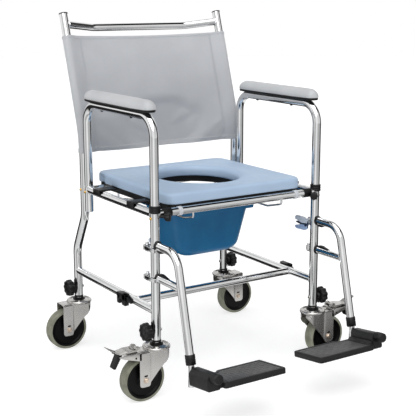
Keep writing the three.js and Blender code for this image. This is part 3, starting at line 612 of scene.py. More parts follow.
def cross_bars():
    spots = (("lower_cross_bar", LOWER_BAR_Y, LOWER_RAIL_Z, RAIL_R, (0, 1, 0)),
             ("seat_front_bar", FRONT_Y, SEAT_RAIL_Z, TUBE_R, (0, 0, 1)),
             ("seat_rear_bar", SOCKET_Y, SEAT_RAIL_Z, TUBE_R, (0, 0, 1)))
    for node, y, z, host_radius, host in spots:
        end = HALF - host_radius + 3
        form = Form().tube([(-end, y, z), (end, y, z)], RAIL_R)
        for sign in (1, -1):
            form.weld((sign * HALF, y, z), (-sign, 0, 0), RAIL_R, host_radius + 0.2, host)
        form.piece(node + "_tube", CHROME, "frame", "chrome_tube", [node])
    _, end_y, _ = upright_point(984)
    corners = [(-HALF + 10, end_y + 3, 983.5), (-160, end_y + 33, 972), (160, end_y + 33, 972), (HALF - 10, end_y + 3, 983.5)]
    handle = Form().tube(corners, RAIL_R, 90, steps=16)
    for sign in (1, -1):
        handle.weld((sign * HALF, end_y, 984), (-sign, 0.27, 0), RAIL_R, TUBE_R, (0, math.sin(LEAN), math.cos(LEAN)))
    handle.piece("push_bar_tube", CHROME, "frame", "chrome_tube", ["push_bar"])


def pan_rail(word, side):
    low, top = 471.3, SEAT_RAIL_Z - RAIL_R - 0.2
    corners = [(149, FRONT_Y + 3, top), (149, FRONT_Y + 3, 485), (142, FRONT_Y + 60, low), (142, SOCKET_Y - 40, low),
               (174, SOCKET_Y - 3, low), (174, SOCKET_Y - 3, top)]
    wire = Form().tube(corners, 2.8, (8, 12, 12, 8), sides=16, steps=8, edge=0.4)
    wire.piece(f"pan_rail_wire_{word}", CHROME, "frame", "chrome_tube", [f"pan_rail_{word}"], side)


def snap_buttons(word, side):
    """The brass buttons that hold the armrest's spigots and the seat sockets."""
    profile = [(0, 0), (4.2, 0), (4.2, 1.6), (3.6, 3.2), (2.2, 4.4), (0, 4.9)]
    front = Form()
    front.lathe(profile, (HALF + TUBE_R - 1, FRONT_Y, 498), (1, -0.1, 0), 18)
    front.lathe(profile, (HALF + TUBE_R - 1, SOCKET_Y, 503), (1, 0.1, 0), 18)
    front.lathe(profile, (HALF + TUBE_R - 1, UPRIGHT_Y, 506), (1, 0.1, 0), 18)
    front.piece(f"snap_buttons_{word}", BRASS, "frame", side=side, sharp=40)


# ---- armrests ----------------------------------------------------------------------------------------
def armrest(word, side):
    body = f"armrest_{word}"
    corners = [(HALF, FRONT_Y, 531.3), (HALF, FRONT_Y, ARM_Z), (HALF, SOCKET_Y, ARM_Z), (HALF, SOCKET_Y, 521.3)]
    loop = Form().tube(corners, TUBE_R, 56, steps=16)
    for y, low in ((FRONT_Y, 440), (SOCKET_Y, 457)):
        loop.tube([(HALF, y, low), (HALF, y, 535)], TUBE_BORE - 0.3)
    loop.piece(f"arm_loop_{word}", CHROME, body, "chrome_tube", [f"arm_tube_{word}"], side)

    front, rear, half = -262.0, 100.0, 26.0
    centre, reach = (front + rear) / 2, (rear - front) / 2

    def width(y):
        """Half the pad's width: it narrows to both ends and closes in a round."""
        ahead, behind = y - front, rear - y
        narrowing = 9.0 * max(0.0, 1 - ahead / 80) ** 1.5 + 6.0 * max(0.0, 1 - behind / 60) ** 1.5
        end = min(1.0, min(ahead, behind) / 13)
        return (half - narrowing) * math.sqrt(max(0.0, 1 - (1 - end) ** 2))

    def ring(inward, z):
        """One level of the pad's outline, moved inwards."""
        points = []
        for k in range(96):
            turn = 2 * math.pi * k / 96
            y = centre - reach * math.cos(turn)
            x = width(y) * (1 if turn < math.pi else -1)
            points.append(Vector((HALF + x * (half - inward) / half, centre + (y - centre) * (reach - inward) / reach, z)))
        return points

    levels = [(25, 780.4), (6, 780.3), (1.2, 780.3), (0.2, 781.0), (0, 783), (0.2, 787), (1.0, 790.4), (3.2, 794.6),
              (6.6, 798.6), (10.6, 801.8), (15, 804.2), (20, 805.4), (25, 805.9)]
    pad = Form().skin([ring(*level) for level in levels])
    made = pad.piece(f"arm_pad_foam_{word}", ARM_FOAM, body, "arm_pad", [f"arm_pad_{word}"], side, sharp=70, smooth=1)

    base = Form().skin([ring(i, z) for i, z in ((24, 774), (4, 773.4), (2.2, 773.8), (1.6, 774.6), (1.2, 775.6),
                                               (1.0, 778.6), (1.4, 779.7), (4, 780.1), (24, 780.1))])
    base.piece(f"arm_pad_board_{word}", BLACK, body, "black_plastic", [f"arm_pad_base_{word}"], side, sharp=40)
    screws = Form()
    for y in (20, -150):
        screws.lathe([(0, 0), (4.4, 0), (4.6, 1.0), (3.4, 2.6), (0, 3.2)], (HALF, y, ARM_Z - TUBE_R + 0.4), (0, 0, -1), 18)
        screws.box((HALF - 3, y - 0.5, ARM_Z - TUBE_R - 3.1), (HALF + 3, y + 0.5, ARM_Z - TUBE_R - 2.2), 0.2)
    screws.piece(f"arm_pad_screws_{word}", BLACK, body, side=side, sharp=40)

    collar = Form().lathe([(10.8, 0), (14.6, 0), (15.5, 0.8), (15.5, 5), (14.9, 5.6), (14.9, 7.4), (15.5, 8), (15.5, 11.4),
                           (14.9, 12), (14.9, 13.6), (15.5, 14.2), (15.5, 17.6), (14.6, 18.6), (10.8, 18.7)],
                          (HALF, FRONT_Y, LEG_TOP + 0.3), loop=True)
    collar.piece(f"arm_collar_ring_{word}", BLACK, "frame", "black_plastic", [f"arm_collar_{word}"], side, sharp=50)

    turn = along((HALF, FRONT_Y, 503), (-1, -1, 0))
    knob = Form().lathe([(0, 13.4), (4, 13.4), (4, 25), (7.4, 26), (8.2, 27.4), (8.2, 28.2), (10.5, 29.6), (0, 29.6)],
                        (0, 0, 0))
    lobes = [((11.4 + 0.9 * math.cos(8 * a)) * math.cos(a), (11.4 + 0.9 * math.cos(8 * a)) * math.sin(a))
             for a in (2 * math.pi * i / 64 for i in range(64))]
    knob.skin([[Vector((u * s, v * s, w)) for u, v in lobes] for s, w in
               ((0.80, 29.2), (0.94, 29.8), (1, 31.4), (1, 39), (0.97, 41), (0.88, 42.4), (0.6, 43.2), (0.1, 43.4))])
    knob.moved(turn)
    knob.piece(f"arm_lock_handle_{word}", BLACK, f"arm_lock_{word}", "black_plastic", [f"arm_lock_knob_{word}"], side,
               sharp=45)
    nut = Form().lathe([(0, 12.0), (7.2, 12.0), (7.6, 12.6), (7.6, 13.0), (0, 13.1)], (0, 0, 0), sides=6)
    nut.moved(turn).piece(f"arm_lock_nut_{word}", ZINC, "frame", side=side)


# ---- castors -----------------------------------------------------------------------------------------
FORK_IN, FORK_OUT = AXLE.x - 14, AXLE.x + 18


def stem(end, y, word, side):
    form = Form().tube([(HALF, y, CROWN_TOP + 0.3), (HALF, y, 286)], 10.3, bore=6)
    form.piece(f"leg_stem_tube_{end}_{word}", CHROME, f"leg_extension_{end}_{word}", "chrome_tube",
               [f"leg_stem_{end}_{word}"], side)


def star_knob(end, y, word, side):
    turn = along((HALF, y, KNOB_Z), (1, 0, 0))

    def lobed(scale):
        return [((23.4 + 1.8 * math.cos(9 * a)) * scale * math.cos(a), (23.4 + 1.8 * math.cos(9 * a)) * scale * math.sin(a))
                for a in (2 * math.pi * i / 120 for i in range(120))]
    levels = [(0.30, 20.5), (0.62, 20.8), (0.86, 21.6), (0.95, 22.8), (1, 25), (1, 36.5), (0.985, 38.6), (0.93, 40.2),
              (0.84, 40.9), (0.76, 40.9), (0.71, 40.0), (0.69, 37.8), (0.62, 37.2), (0.36, 37.2), (0.33, 38.2), (0.28, 38.8),
              (0.05, 38.9)]
    head = Form().skin([[Vector((u, v, w)) for u, v in lobed(s)] for s, w in levels])
    head.lathe([(0, 13.6), (8.2, 13.6), (9, 14.4), (9, 19), (10.5, 21), (10.5, 22), (0, 22)], (0, 0, 0), sides=32)
    head.moved(turn)
    head.piece(f"height_knob_head_{end}_{word}", BLACK, f"height_knob_{end}_{word}", "black_plastic",
               [f"star_knob_{end}_{word}"], side, sharp=45)
    # The saddle under the knob and the bolt's end on the leg's inner side.
    saddle = Form().box((HALF + 9.5, y - 6.5, KNOB_Z - 22), (HALF + 13.2, y + 6.5, KNOB_Z + 24), 2.0, segments=3)
    end_ring(saddle, y)
    saddle.piece(f"leg_saddle_{end}_{word}", BLACK, "frame", "black_plastic", side=side, sharp=45)
    bolt = Form().lathe([(0, 11.6), (6.2, 11.6), (6.4, 12.4), (4.0, 13.0), (4.0, 15.2), (3.2, 16.4), (0, 16.8)], (0, 0, 0),
                        sides=24)
    bolt.moved(along((HALF, y, KNOB_Z), (-1, 0, 0)))
    bolt.piece(f"leg_bolt_end_{end}_{word}", ZINC, "frame", side=side)


def fork_side(form, y, sign):
    """One pressed cheek: a flat strip at the axle, and a web that sweeps round under the crown."""
    stations = []
    for i in range(15):
        t = i / 14
        x = 237.5 + 62.5 * t
        # The lower edge runs almost straight from the crown down to the axle.
        low = 131 - 76 * t - 10 * math.sin(math.pi * min(1.0, t * 1.6)) * (0.6 if t < 0.3 else 0.25)
        if x < 250:
            across = 12.5 + 14.8 * math.sin(math.pi / 2 * (x - 237.5) / 12.5)
        else:
            across = 27.3 - 5.4 * (x - 250) / 50
        stations.append((x, low, across))
    stations += [(301.2, 52.0, 22.1), (302.2, 49.0, 23.1), (304, 46.0, 23.2), (306.5, 44.2, 23.2), (310, 43.6, 23.2),
                 (324, 43.6, 23.2), (328.5, 44.2, 23.2), (331.5, 46.0, 23.2), (333.6, 48.6, 23.2), (334.2, 52, 23.2)]
    rings = []
    for x, low, across in stations:
        outer, inner = across, across - 2.8
        edge = 0.5
        rings.append([Vector((x, y + sign * v, z)) for v, z in
                      ((inner + edge, low), (outer - edge, low), (outer, low + edge), (outer, 141.5 - edge),
                       (outer - edge, 141.5), (inner + edge, 141.5), (inner, 141.5 - edge), (inner, low + edge))])
    form.skin(rings)


def castor(end, y, word, side):
    body = f"castor_{end}_{word}"
    z = CROWN_TOP
    fork = Form()
    fork.lathe([(11, z - 12), (31, z - 11.6), (35.5, z - 10.6), (37.6, z - 8.6), (38, z - 6.2), (37.4, z - 3.6), (35.6, z - 1.9),
                (33.4, z - 1.5), (31.8, z - 2.3), (30.4, z - 3.9), (28.6, z - 4.1), (26, z - 3.1), (23, z - 1.6), (19, z - 0.7),
                (15, z - 0.5), (11, z - 0.5)], (HALF, y, 0), sides=64, loop=True)
    plate = rounded([(239, y - 16), (252, y - 23.2), (334, y - 23.2), (334, y + 23.2), (252, y + 23.2), (239, y + 16)], 3)
    fork.prism(plate, 138.6, 142.4, xy(0), 0.6)
    for sign in (1, -1):
        fork_side(fork, y, sign)
    if end == "front":
        cheek = rounded([(328, 144.5), (328, 121), (336, 121), (378, 134), (394, 141), (394, 144.5)], 2.5)
        for sign in (1, -1):
            low, high = sorted((sign * 20.4, sign * 23.2))
            fork.prism(cheek, low, high, xz(y), 0.5)
        bridge = rounded([(333, y - 23.2), (340, y - 23.2), (340, y + 23.2), (333, y + 23.2)], 2)
        fork.prism(bridge, 142.0, 144.8, xy(0), 0.5)
    fork.lathe([(0, -27), (3.9, -27), (3.9, 27), (0, 27)], (AXLE.x, y, WHEEL_R), (0, 1, 0), 24)
    fork.piece(f"castor_body_{end}_{word}", ZINC, body, "zinc_steel", [f"castor_fork_{end}_{word}"], side, sharp=34)
    bolts = Form()
    for sign in (1, -1):
        bolts.lathe([(0, 23.0), (8.4, 23.0), (8.6, 23.5), (7.6, 24.1), (0, 24.1)], (AXLE.x, y, WHEEL_R), (0, sign, 0), 32)
        bolts.lathe([(0, 24.0), (6.6, 24.0), (6.9, 24.6), (6.9, 27.2), (6.2, 28.0), (0, 28.0)], (AXLE.x, y, WHEEL_R),
                    (0, sign, 0), 6)
        bolts.lathe([(0, 27.6), (3.4, 27.6), (3.2, 28.4), (0, 28.5)], (AXLE.x, y, WHEEL_R), (0, sign, 0), 20)
    bolts.piece(f"axle_bolt_{end}_{word}", COPPERY, body, side=side)
    dark = Form()
    for sign in (1, -1):
        # Painted shade: a thin dark rubber patch on each cheek stands in for the slot through it.
        slot = round_rect(5.4, 2.6, 2.5, 5, (AXLE.x, WHEEL_R + 12.5))
        low, high = sorted((sign * 22.6, sign * 23.4))
        dark.prism(slot, low, high, xz(y), 0.15)
        if end == "front":
            dark.lathe([(0, 23.0), (2.8, 23.0), (2.6, 23.9), (0, 24.3)], (345, y, 131), (0, sign, 0), 16)
    dark.lathe([(10.5, z - 0.6), (17.5, z - 0.6), (18.6, z + 0.2), (18.2, z + 1.4), (14.4, z + 2.4), (13.8, z + 4.6), (12.6, z + 5.2),
                (10.5, z + 5.2)], (HALF, y, 0), loop=True)
    dark.piece(f"castor_seal_{end}_{word}", RUBBER, body, "black_plastic", side=side, sharp=40)
    wheel(end, y, word, side)


def wheel(end, y, word, side):
    body = f"wheel_{end}_{word}"
    half = 17.0
    right = [(53.8, 16.0), (57.6, 16.2), (58.2, 15.7), (58.9, 16.1), (60.2, 15.6), (61.4, 13.8), (62.1, 11.2), (62.4, 8), (62.5, 4)]
    profile = [(r, h) for r, h in right] + [(r, -h) for r, h in reversed(right)]
    tyre = Form().lathe(profile, (AXLE.x, y, WHEEL_R), (0, 1, 0), 96, loop=True)
    tyre.piece(f"tyre_tread_{end}_{word}", TYRE, body, "tyre", [f"tyre_{end}_{word}"], side, sharp=60)
    right = [(4.4, half + 2), (11, half + 2), (12.6, half + 1.2), (13, half - 3), (15.5, half - 5.5), (22, half - 6.4),
             (40, half - 6.4), (45, half - 5.6), (47.5, half - 2.2), (49.5, half - 1.2), (53.5, half - 1.2)]
    profile = right + [(r, -h) for r, h in reversed(right)]
    disc = Form().lathe(profile, (AXLE.x, y, WHEEL_R), (0, 1, 0), 72, loop=True)
    disc.piece(f"wheel_disc_{end}_{word}", HUB, body, "hub", [f"hub_{end}_{word}"], side, sharp=38)


def brake(word, side):
    y, pivot = FRONT_Y, 356.0
    body = f"brake_{word}"
    spine = bent([(pivot - 16, y, 151.5), (pivot + 12, y, 152), (pivot + 33, y, 148.4), (pivot + 46, y, 155.5),
                  (pivot + 66, y, 167.6)], (10, 12, 12), 6)
    count = len(spine)

    def section(k):
        t = k / (count - 1)
        half = 19 - 7.5 * max(0.0, t - 0.15)
        lip = 2.4 * (1 - t)
        return [(half, 0.9), (half - 0.4, 1.3), (-half + 0.4, 1.3), (-half, 0.9), (-half, -0.9 - lip), (-half + 1.6, -0.9 - lip),
                (-half + 1.8, -0.9), (half - 1.8, -0.9), (half - 1.6, -0.9 - lip), (half, -0.9 - lip)]
    tongue = Form()
    rings = []
    for k, (point, ahead) in enumerate(spine):
        up = ahead.cross(Vector((0, 1, 0)))
        if up.z < 0:
            up = -up
        rings.append([point + Vector((0, a, 0)) + up * b for a, b in section(k)])
    tongue.skin(rings)
    for sign in (1, -1):
        toggle = rounded([(326, 150), (338, 150), (346, 157), (340, 161), (330, 158)], 2)
        low, high = sorted((sign * 9, sign * 14))
        tongue.prism(toggle, low, high, xz(y), 0.6)
    tongue.box((334, y - 12, 153.4), (350, y + 12, 156.4), 1.2)
    shoe = rounded([(pivot - 12, 152), (pivot - 14, 129), (pivot - 4, 125.5), (pivot + 8, 131), (pivot + 14, 151)], 3)
    tongue.prism(shoe, -15, 15, xz(y), 0.8)
    tongue.piece(f"brake_tongue_{word}", ZINC, body, "zinc_steel", [f"brake_pedal_{word}"], side, sharp=36)
    lower = rounded([(pivot + 20, 149), (pivot + 43, 109), (pivot + 46, 107), (pivot + 52, 110), (pivot + 34, 150)], 2.5)
    lever = Form().prism(lower, -11, 11, xz(y), 1.4)
    arch = [(pivot + 14, 147.5), (pivot + 30, 144.2), (pivot + 46, 150.5), (pivot + 52, 156), (pivot + 44, 154.4),
            (pivot + 32, 147.6), (pivot + 16, 150.4)]
    lever.prism(rounded(arch, 2), -10, 10, xz(y), 0.7)
    lever.box((330, y - 8, 150.4), (352, y + 8, 152.6), 0.8)
    lever.piece(f"brake_release_{word}", BLACK, body, "black_plastic", side=side, sharp=40)


# ---- footrests ---------------------------------------------------------------------------------------
def footrest(word, side):
    body = f"footrest_{word}"
    start = FRONT_Y - TUBE_R - 2.5
    hanger = Form().tube([(HALF, start, HANGER_TOP), (HALF, KNEE_Y, HANGER_TOP), hanger_point(HANGER_END)], RAIL_R, 52,
                         bore=0, steps=18)
    strut_end = hanger_point(STRUT_Z)[1] + 5
    hanger.tube([(HALF, start, STRUT_Z), (HALF, strut_end, STRUT_Z)], 10)
    lower = (Vector(hanger_point(STRUT_Z - 50)) - Vector(hanger_point(STRUT_Z))).normalized()
    hanger.weld(hanger_point(STRUT_Z), (0, 1, 0), 10, RAIL_R, -lower)
    outer = HALF + TUBE_R + 2
    for height in HINGES:
        hanger.box((outer, start - 10, height - 5), (outer + 2.6, PIN_Y + 1, height + 5), 1.0)
        hanger.box((HALF - 6, start - 10, height - 5), (outer + 2.6, start - 7, height + 5), 1.0)
        hanger.box((PIN_X + 3, PIN_Y - 2.4, height - 7), (outer + 3, PIN_Y + 2.4, height + 7), 1.0)
        hanger.lathe([(3.9, -7), (6.4, -7), (7, -6.4), (7, 6.4), (6.4, 7), (3.9, 7)], (PIN_X, PIN_Y, height), sides=28, loop=True)
    hanger.piece(f"hanger_tube_{word}", CHROME, body, "chrome_tube", [f"footrest_hanger_{word}"], side)

    # Black saddles seat the tubes on the leg, and a split collar closes the hanger's lower end.
    black = Form()
    for height, radius in ((HANGER_TOP, RAIL_R), (STRUT_Z, 10)):
        reach = 7.5 if height == HANGER_TOP else 6.5
        ring = [(radius - 1, 0), (radius + 2.4, 0), (radius + 2.8, 0.8), (radius + 2.4, 3.6), (radius + 0.9, reach),
                (radius - 1, reach)]
        black.lathe(ring, (HALF, start + 1.6, height), (0, -1, 0), sides=44, loop=True)
    wedge = rounded([(start - 4, STRUT_Z + 8.6), (start - 52, STRUT_Z + 8.6), (start - 52, STRUT_Z + 10.4),
                     (start - 24, STRUT_Z + 16.5), (start - 10, STRUT_Z + 15.5)], 1.2)
    black.prism(wedge, -4.5, 4.5, yz(HALF), 0.6)
    block = rounded([(start - 4, HANGER_TOP - 10), (start - 4, HANGER_TOP - 16), (start - 24, HANGER_TOP - 15),
                     (start - 30, HANGER_TOP - 10)], 1.5)
    black.prism(block, -6, 6, yz(HALF), 0.8)
    end, tip = Vector(hanger_point(HANGER_END + 25)), Vector(hanger_point(HANGER_END - 1))
    ahead = (tip - end).normalized()
    length = (tip - end).length
    black.lathe([(10.4, 0), (12.6, 0), (13.4, 0.9), (13.4, 11.2), (12.8, 11.8), (12.8, 13), (13.4, 13.6), (13.4, length - 0.9),
                 (12.6, length), (8.6, length)], end, ahead, sides=44, loop=True)
    for offset in (7, 19):
        base = end + ahead * offset + Vector((9.5, 0, 0))
        black.lathe([(0, 0), (3.4, 0), (3.4, 3.4), (2.6, 4.2), (0, 4.3)], base, (1, 0, 0), 6)
    black.piece(f"hanger_fittings_{word}", BLACK, body, "black_plastic", side=side, sharp=42)

    stub_end = hanger_point(HANGER_END - 12)
    tube = Form().tube([hanger_point(STRUT_Z - 40), stub_end, (HALF, stub_end[1] + 2, 88)], 8, 26, steps=8, sides=32)
    run = 132
    tube.tube([(HALF, -441, 133), (HALF, -441 - run, 133 + run * math.tan(PLATE_TILT))], 5.5, sides=24)
    tube.lathe([(0, 0), (6.8, 0), (7.2, 1), (6.4, 4), (3.6, 5.6), (0, 6)], (HALF, stub_end[1] - 5, 101), (0.4, 1, -0.2), 24)
    tube.piece(f"foot_tube_bar_{word}", CHROME, f"foot_extension_{word}", "chrome_tube", [f"foot_tube_{word}"], side)
    # Painted shade: a thin dark rubber disc on the tube stands in for the hole in it.
    hole = Form().lathe([(0, 0), (2.6, 0), (2.6, 0.4), (0, 0.5)], (HALF + 3.4, stub_end[1] - 6.6, 122), (0.45, -0.89, 0), 16)
    hole.piece(f"foot_tube_hole_painted_shade_{word}", RUBBER, f"foot_extension_{word}", side=side)
    footplate(word, side)


def footplate(word, side):
    body = f"plate_{word}"
    turn = (Matrix.Translation((0, PLATE_REAR.y, PLATE_REAR_Z)) @ Matrix.Rotation(-PLATE_TILT, 4, "X"))

    def place(u, v, w):
        """u across, v forwards along the tread and w square to it."""
        return turn @ Vector((u, -v, w))
    x0, x1 = PLATE_X
    notch = [(x0, 0), (198, 0), (203, 14), (x1, 14), (x1, PLATE_LENGTH), (x0, PLATE_LENGTH)]
    tray = Form()
    outline = rounded(notch, 8, 5)
    if area_of(outline) < 0:
        outline.reverse()
    levels = [(2.0, -15.6), (0.5, -15.2), (0, -14), (0, -2.6), (0.5, -0.9), (1.8, 0.0), (7.2, 0.0), (8.4, -0.4), (9.0, -1.4),
              (10.2, -1.6)]
    tray.skin([[place(u, v, w) for u, v in inset(outline, d)] for d, w in levels])
    block_end = PLATE_LENGTH - 16
    section = rounded([(HALF - 19, -19), (HALF + 19, -19), (HALF + 19, 15), (HALF + 8, 26), (HALF - 12, 26), (HALF - 19, 10)],
                      6, 5)
    tray.prism(section, 15.5, block_end, lambda u, w, v: place(u, v, w), 1.2)
    bridge = rounded([(232, -15.6), (258, -15.6), (258, 8), (248, 5), (238, -1)], 4, 5)
    tray.prism(bridge, 15, block_end, lambda u, w, v: place(u, v, w), 0.8)
    tray.piece(f"footplate_tray_{word}", CHARCOAL, body, "footplate", [f"footplate_{word}"], side, sharp=36)

    axis_w = (133 + 9 * math.tan(PLATE_TILT) - PLATE_REAR_Z) * math.cos(PLATE_TILT)
    roll = Form()
    base = place(HALF, block_end - 1.5, axis_w)
    ahead = place(HALF, block_end + 1, axis_w) - place(HALF, block_end, axis_w)
    roll.lathe([(5.9, 0), (13.2, 0), (13.2, 22.4), (12.7, 23.6), (11.8, 24.2), (11.8, 25.2), (12.6, 25.8), (12.6, 27.4), (11.6, 28.6),
                (5.9, 28.9)],
               base, ahead, 40, loop=True)
    for k in range(12):
        angle = 2 * math.pi * k / 12
        out = Matrix.Rotation(angle, 4, ahead)
        rib = Form().box((-0.6, -0.6, 0), (0.6, 0.6, 19), 0.3)
        shift = Vector(base) + (out @ Vector((13.1, 0, 0)))
        rib.moved(along((0, 0, 0), ahead)).moved(Matrix.Translation(shift))
        roll.add(rib.points, rib.faces)
    roll.lathe([(0, 26), (5.8, 26), (5.8, 28.4), (5.0, 28.9), (0, 29)], base, ahead, 28)
    roll.piece(f"footplate_roll_{word}", CHARCOAL, body, "footplate", side=side, sharp=40)

    # The grip panel let into the tread, with rows of low pips.
    grip = Form()
    panel = [(x0 + 9.2, 9.2), (214, 9.2), (222, 18.5), (231, 18.5), (231, PLATE_LENGTH - 9.4), (x0 + 9.2, PLATE_LENGTH - 9.4)]
    grip.prism(rounded(panel, 6, 4), -2.2, -0.9, place, 0.5)
    for i in range(14):
        for j in range(8):
            u, v = x0 + 18 + i * 12.2, 20 + j * 11.6
            if u > 224 or v > PLATE_LENGTH - 16:
                continue
            half = 3.2
            ends = ((u - half, v - half), (u + half, v + half)) if (i + j) % 2 else ((u - half, v + half), (u + half, v - half))
            (u0, v0), (u1, v1) = ends
            across = Vector((v1 - v0, u0 - u1)).normalized() * 0.9
            pip = [(u0 + across.x, v0 + across.y), (u0 - across.x, v0 - across.y), (u1 - across.x, v1 - across.y),
                   (u1 + across.x, v1 + across.y)]
            grip.prism(pip, -1.2, -0.35, place, 0.25)
    grip.piece(f"footplate_grip_{word}", TREAD, body, "footplate", side=side, sharp=40)


def release_lever(word, side):
    inner = HALF - TUBE_R - 12
    body = f"lever_{word}"
    upper = rounded([(-262, 414), (-262, 424), (-246, 430.5), (-212, 430.5), (-206, 426), (-207, 419), (-238, 412)], 3, 5)
    lower = rounded([(-262, 409), (-238, 408), (-207, 400), (-206, 394), (-214, 390.5), (-250, 392), (-262, 398)], 3, 5)
    form = Form().prism(upper, 1, 9, yz(inner), 1.2)
    form.piece(f"lever_finger_{word}", LEVER_PALE, body, "lever", [f"release_lever_{word}"], side, sharp=38)
    trigger = Form().prism(lower, 1.6, 8.4, yz(inner), 1.2)
    trigger.piece(f"lever_trigger_{word}", LEVER_BLUE, body, "lever", side=side, sharp=38)
    middle_part = rounded([(-262, 398), (-262, 424), (-240, 417), (-212, 413.5), (-209, 409.5), (-240, 405)], 2.5, 5)
    core = Form().prism(middle_part, 2.2, 7.8, yz(inner), 0.8)
    core.lathe([(0, 0.4), (5, 0.4), (5, 9.6), (0, 9.6)], (inner, -257, 410), (1, 0, 0), 24)
    core.piece(f"lever_core_{word}", NAVY, body, side=side, sharp=38)


def rail_catch(word, side):
    x = HALF + RAIL_R + 0.5
    form = Form().box((x - 0.3, -140, 224), (x + 13, -121, 256), 1.6)
    form.box((x - 0.3, -107, 224), (x + 13, -92, 250), 1.6)
    form.box((x - 0.3, -140, 238), (x + 13, -92, 256), 1.6)
    tongue = rounded([(-140, 252), (-152, 246), (-166, 241), (-166, 237), (-150, 238), (-140, 240)], 2)
    form.prism(tongue, 1, 9, yz(x), 0.8)
    form.box((x - 6, -134, 253.6), (x + 4, -98, 256), 1.0)
    form.piece(f"rail_catch_clip_{word}", BLACK, "frame", "black_plastic", [f"rail_catch_{word}"], side, sharp=40)


# ---- seat and pan ------------------------------------------------------------------------------------
def seat():
    sides = 240
    mid = Vector((0.0, (SEAT_FRONT + SEAT_REAR) / 2))
    half = Vector((SEAT_HALF, (SEAT_REAR - SEAT_FRONT) / 2))
    corner = 30.0
    centre = Vector((0.0, HOLE_Y))

    def distance(point):
        """Signed distance to the pad's rounded outline."""
        q = Vector((abs(point.x - mid.x) - half.x + corner, abs(point.y - mid.y) - half.y + corner))
        return Vector((max(q.x, 0), max(q.y, 0))).length + min(max(q.x, q.y), 0) - corner

    def reach(direction):
        near, far = 0.0, 400.0
        for _ in range(40):
            between = (near + far) / 2
            if distance(centre + direction * between) < 0:
                near = between
            else:
                far = between
        return near

    rays = []
    for i in range(sides):
        angle = 2 * math.pi * i / sides
        direction = Vector((math.cos(angle), math.sin(angle)))
        hole = 1 / math.sqrt((direction.x / HOLE_X_HALF) ** 2 + (direction.y / HOLE_Y_HALF) ** 2)
        rays.append((direction, hole, reach(direction)))
    b, t = SEAT_BOTTOM, SEAT_TOP

    def relief(point, z):
        """How far the side is let in beside each rear armrest socket."""
        along_side = min(max((point.y - 106) / 3, 0), 1) * min(max((139 - point.y) / 3, 0), 1)
        height = min(max((t - 7 - z) / 4, 0), 1)
        return 8.0 * along_side * height if abs(point.x) > SEAT_HALF - 22 else 0.0

    outer = [(5, b), (1.6, b + 0.4), (0.3, b + 2.4), (0, b + 6), (0, t - 12), (0.3, t - 8.6), (1.3, t - 5.4), (3.2, t - 2.9), (6, t - 1.3),
             (11, t - 0.4), (22, t)]
    inner = [(24, t - 0.6), (17, t - 1.0), (11.5, t - 2.1), (7, t - 4.2), (3.6, t - 7.6), (1.4, t - 12), (0.4, t - 17), (0, t - 23),
             (0.4, b + 4), (1.6, b + 1), (5, b)]
    rings = []
    for inward, z in outer:
        ring = []
        for direction, _, far in rays:
            point = centre + direction * (far - inward)
            point.x -= math.copysign(relief(point, z), point.x)
            ring.append(Vector((point.x, point.y, z)))
        rings.append(ring)
    for share in (0.2, 0.4, 0.6, 0.8):
        ring = []
        for direction, near, far in rays:
            at = (far - 22) * (1 - share) + (near + 24) * share
            point = centre + direction * at
            dish = 1.9 * math.sin(math.pi * share) + 0.6 * share
            ring.append(Vector((point.x, point.y, t - dish)))
        rings.append(ring)
    for outward, z in inner:
        rings.append([Vector((*(centre + direction * (near + outward)), z)) for direction, near, _ in rays])
    pad = Form().skin(rings, loop=True)
    made = pad.piece("seat_cushion", SEAT_FOAM, "seat", "seat_pad", ["seat_pad"], sharp=75, smooth=1)

    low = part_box("seat_base")[0].z / MM
    board = Form()
    top = SEAT_BOTTOM - 0.2
    levels = ((7, low + 12.4 - 12.4), (6, low + 0.6), (6, top - 0.4), (6.6, top))
    outer_rings = [[Vector((*(centre + d * (far - inward)), z)) for d, _, far in rays] for inward, z in levels]
    inner_rings = [[Vector((*(centre + d * (near + inward)), z)) for d, near, _ in rays] for inward, z in reversed(levels)]
    board.skin(outer_rings + inner_rings, loop=True)
    for sign in (1, -1):
        for y0, y1 in ((22, 62), (-176, -140)):
            clip = Form().box((SEAT_HALF - 20, y0, SEAT_RAIL_Z + RAIL_R + 0.5), (HALF + RAIL_R + 3, y1, SEAT_RAIL_Z + RAIL_R + 3.6), 1)
            clip.box((HALF + RAIL_R + 0.4, y0, SEAT_RAIL_Z - 2), (HALF + RAIL_R + 3, y1, SEAT_RAIL_Z + RAIL_R + 2.6), 1)
            board.add([Vector((p.x * sign, p.y, p.z)) for p in clip.points], clip.faces)
    board.piece("seat_board", BLACK, "seat", "black_plastic", ["seat_base"], sharp=40)


def front_bar_fittings(word, side):
    """Black sleeves at the bar's ends and pale clips that hold the pan's runners."""
    sleeves = Form().lathe([(RAIL_R, 0), (RAIL_R + 1.2, 0), (RAIL_R + 1.6, 0.6), (RAIL_R + 1.6, 26), (RAIL_R + 1.2, 26.6), (RAIL_R, 26.6)],
                           (222, FRONT_Y, SEAT_RAIL_Z), (1, 0, 0), loop=True)
    sleeves.piece(f"front_bar_sleeve_{word}", RUBBER, "frame", side=side, sharp=40)
    clip = Form().lathe([(RAIL_R, 0), (RAIL_R + 1.1, 0), (RAIL_R + 1.4, 0.5), (RAIL_R + 1.4, 11), (RAIL_R + 1.1, 11.5), (RAIL_R, 11.5)],
                        (189, FRONT_Y, SEAT_RAIL_Z), (1, 0, 0), loop=True)
    clip.piece(f"front_bar_clip_{word}", CLEAR, "frame", side=side, sharp=40)


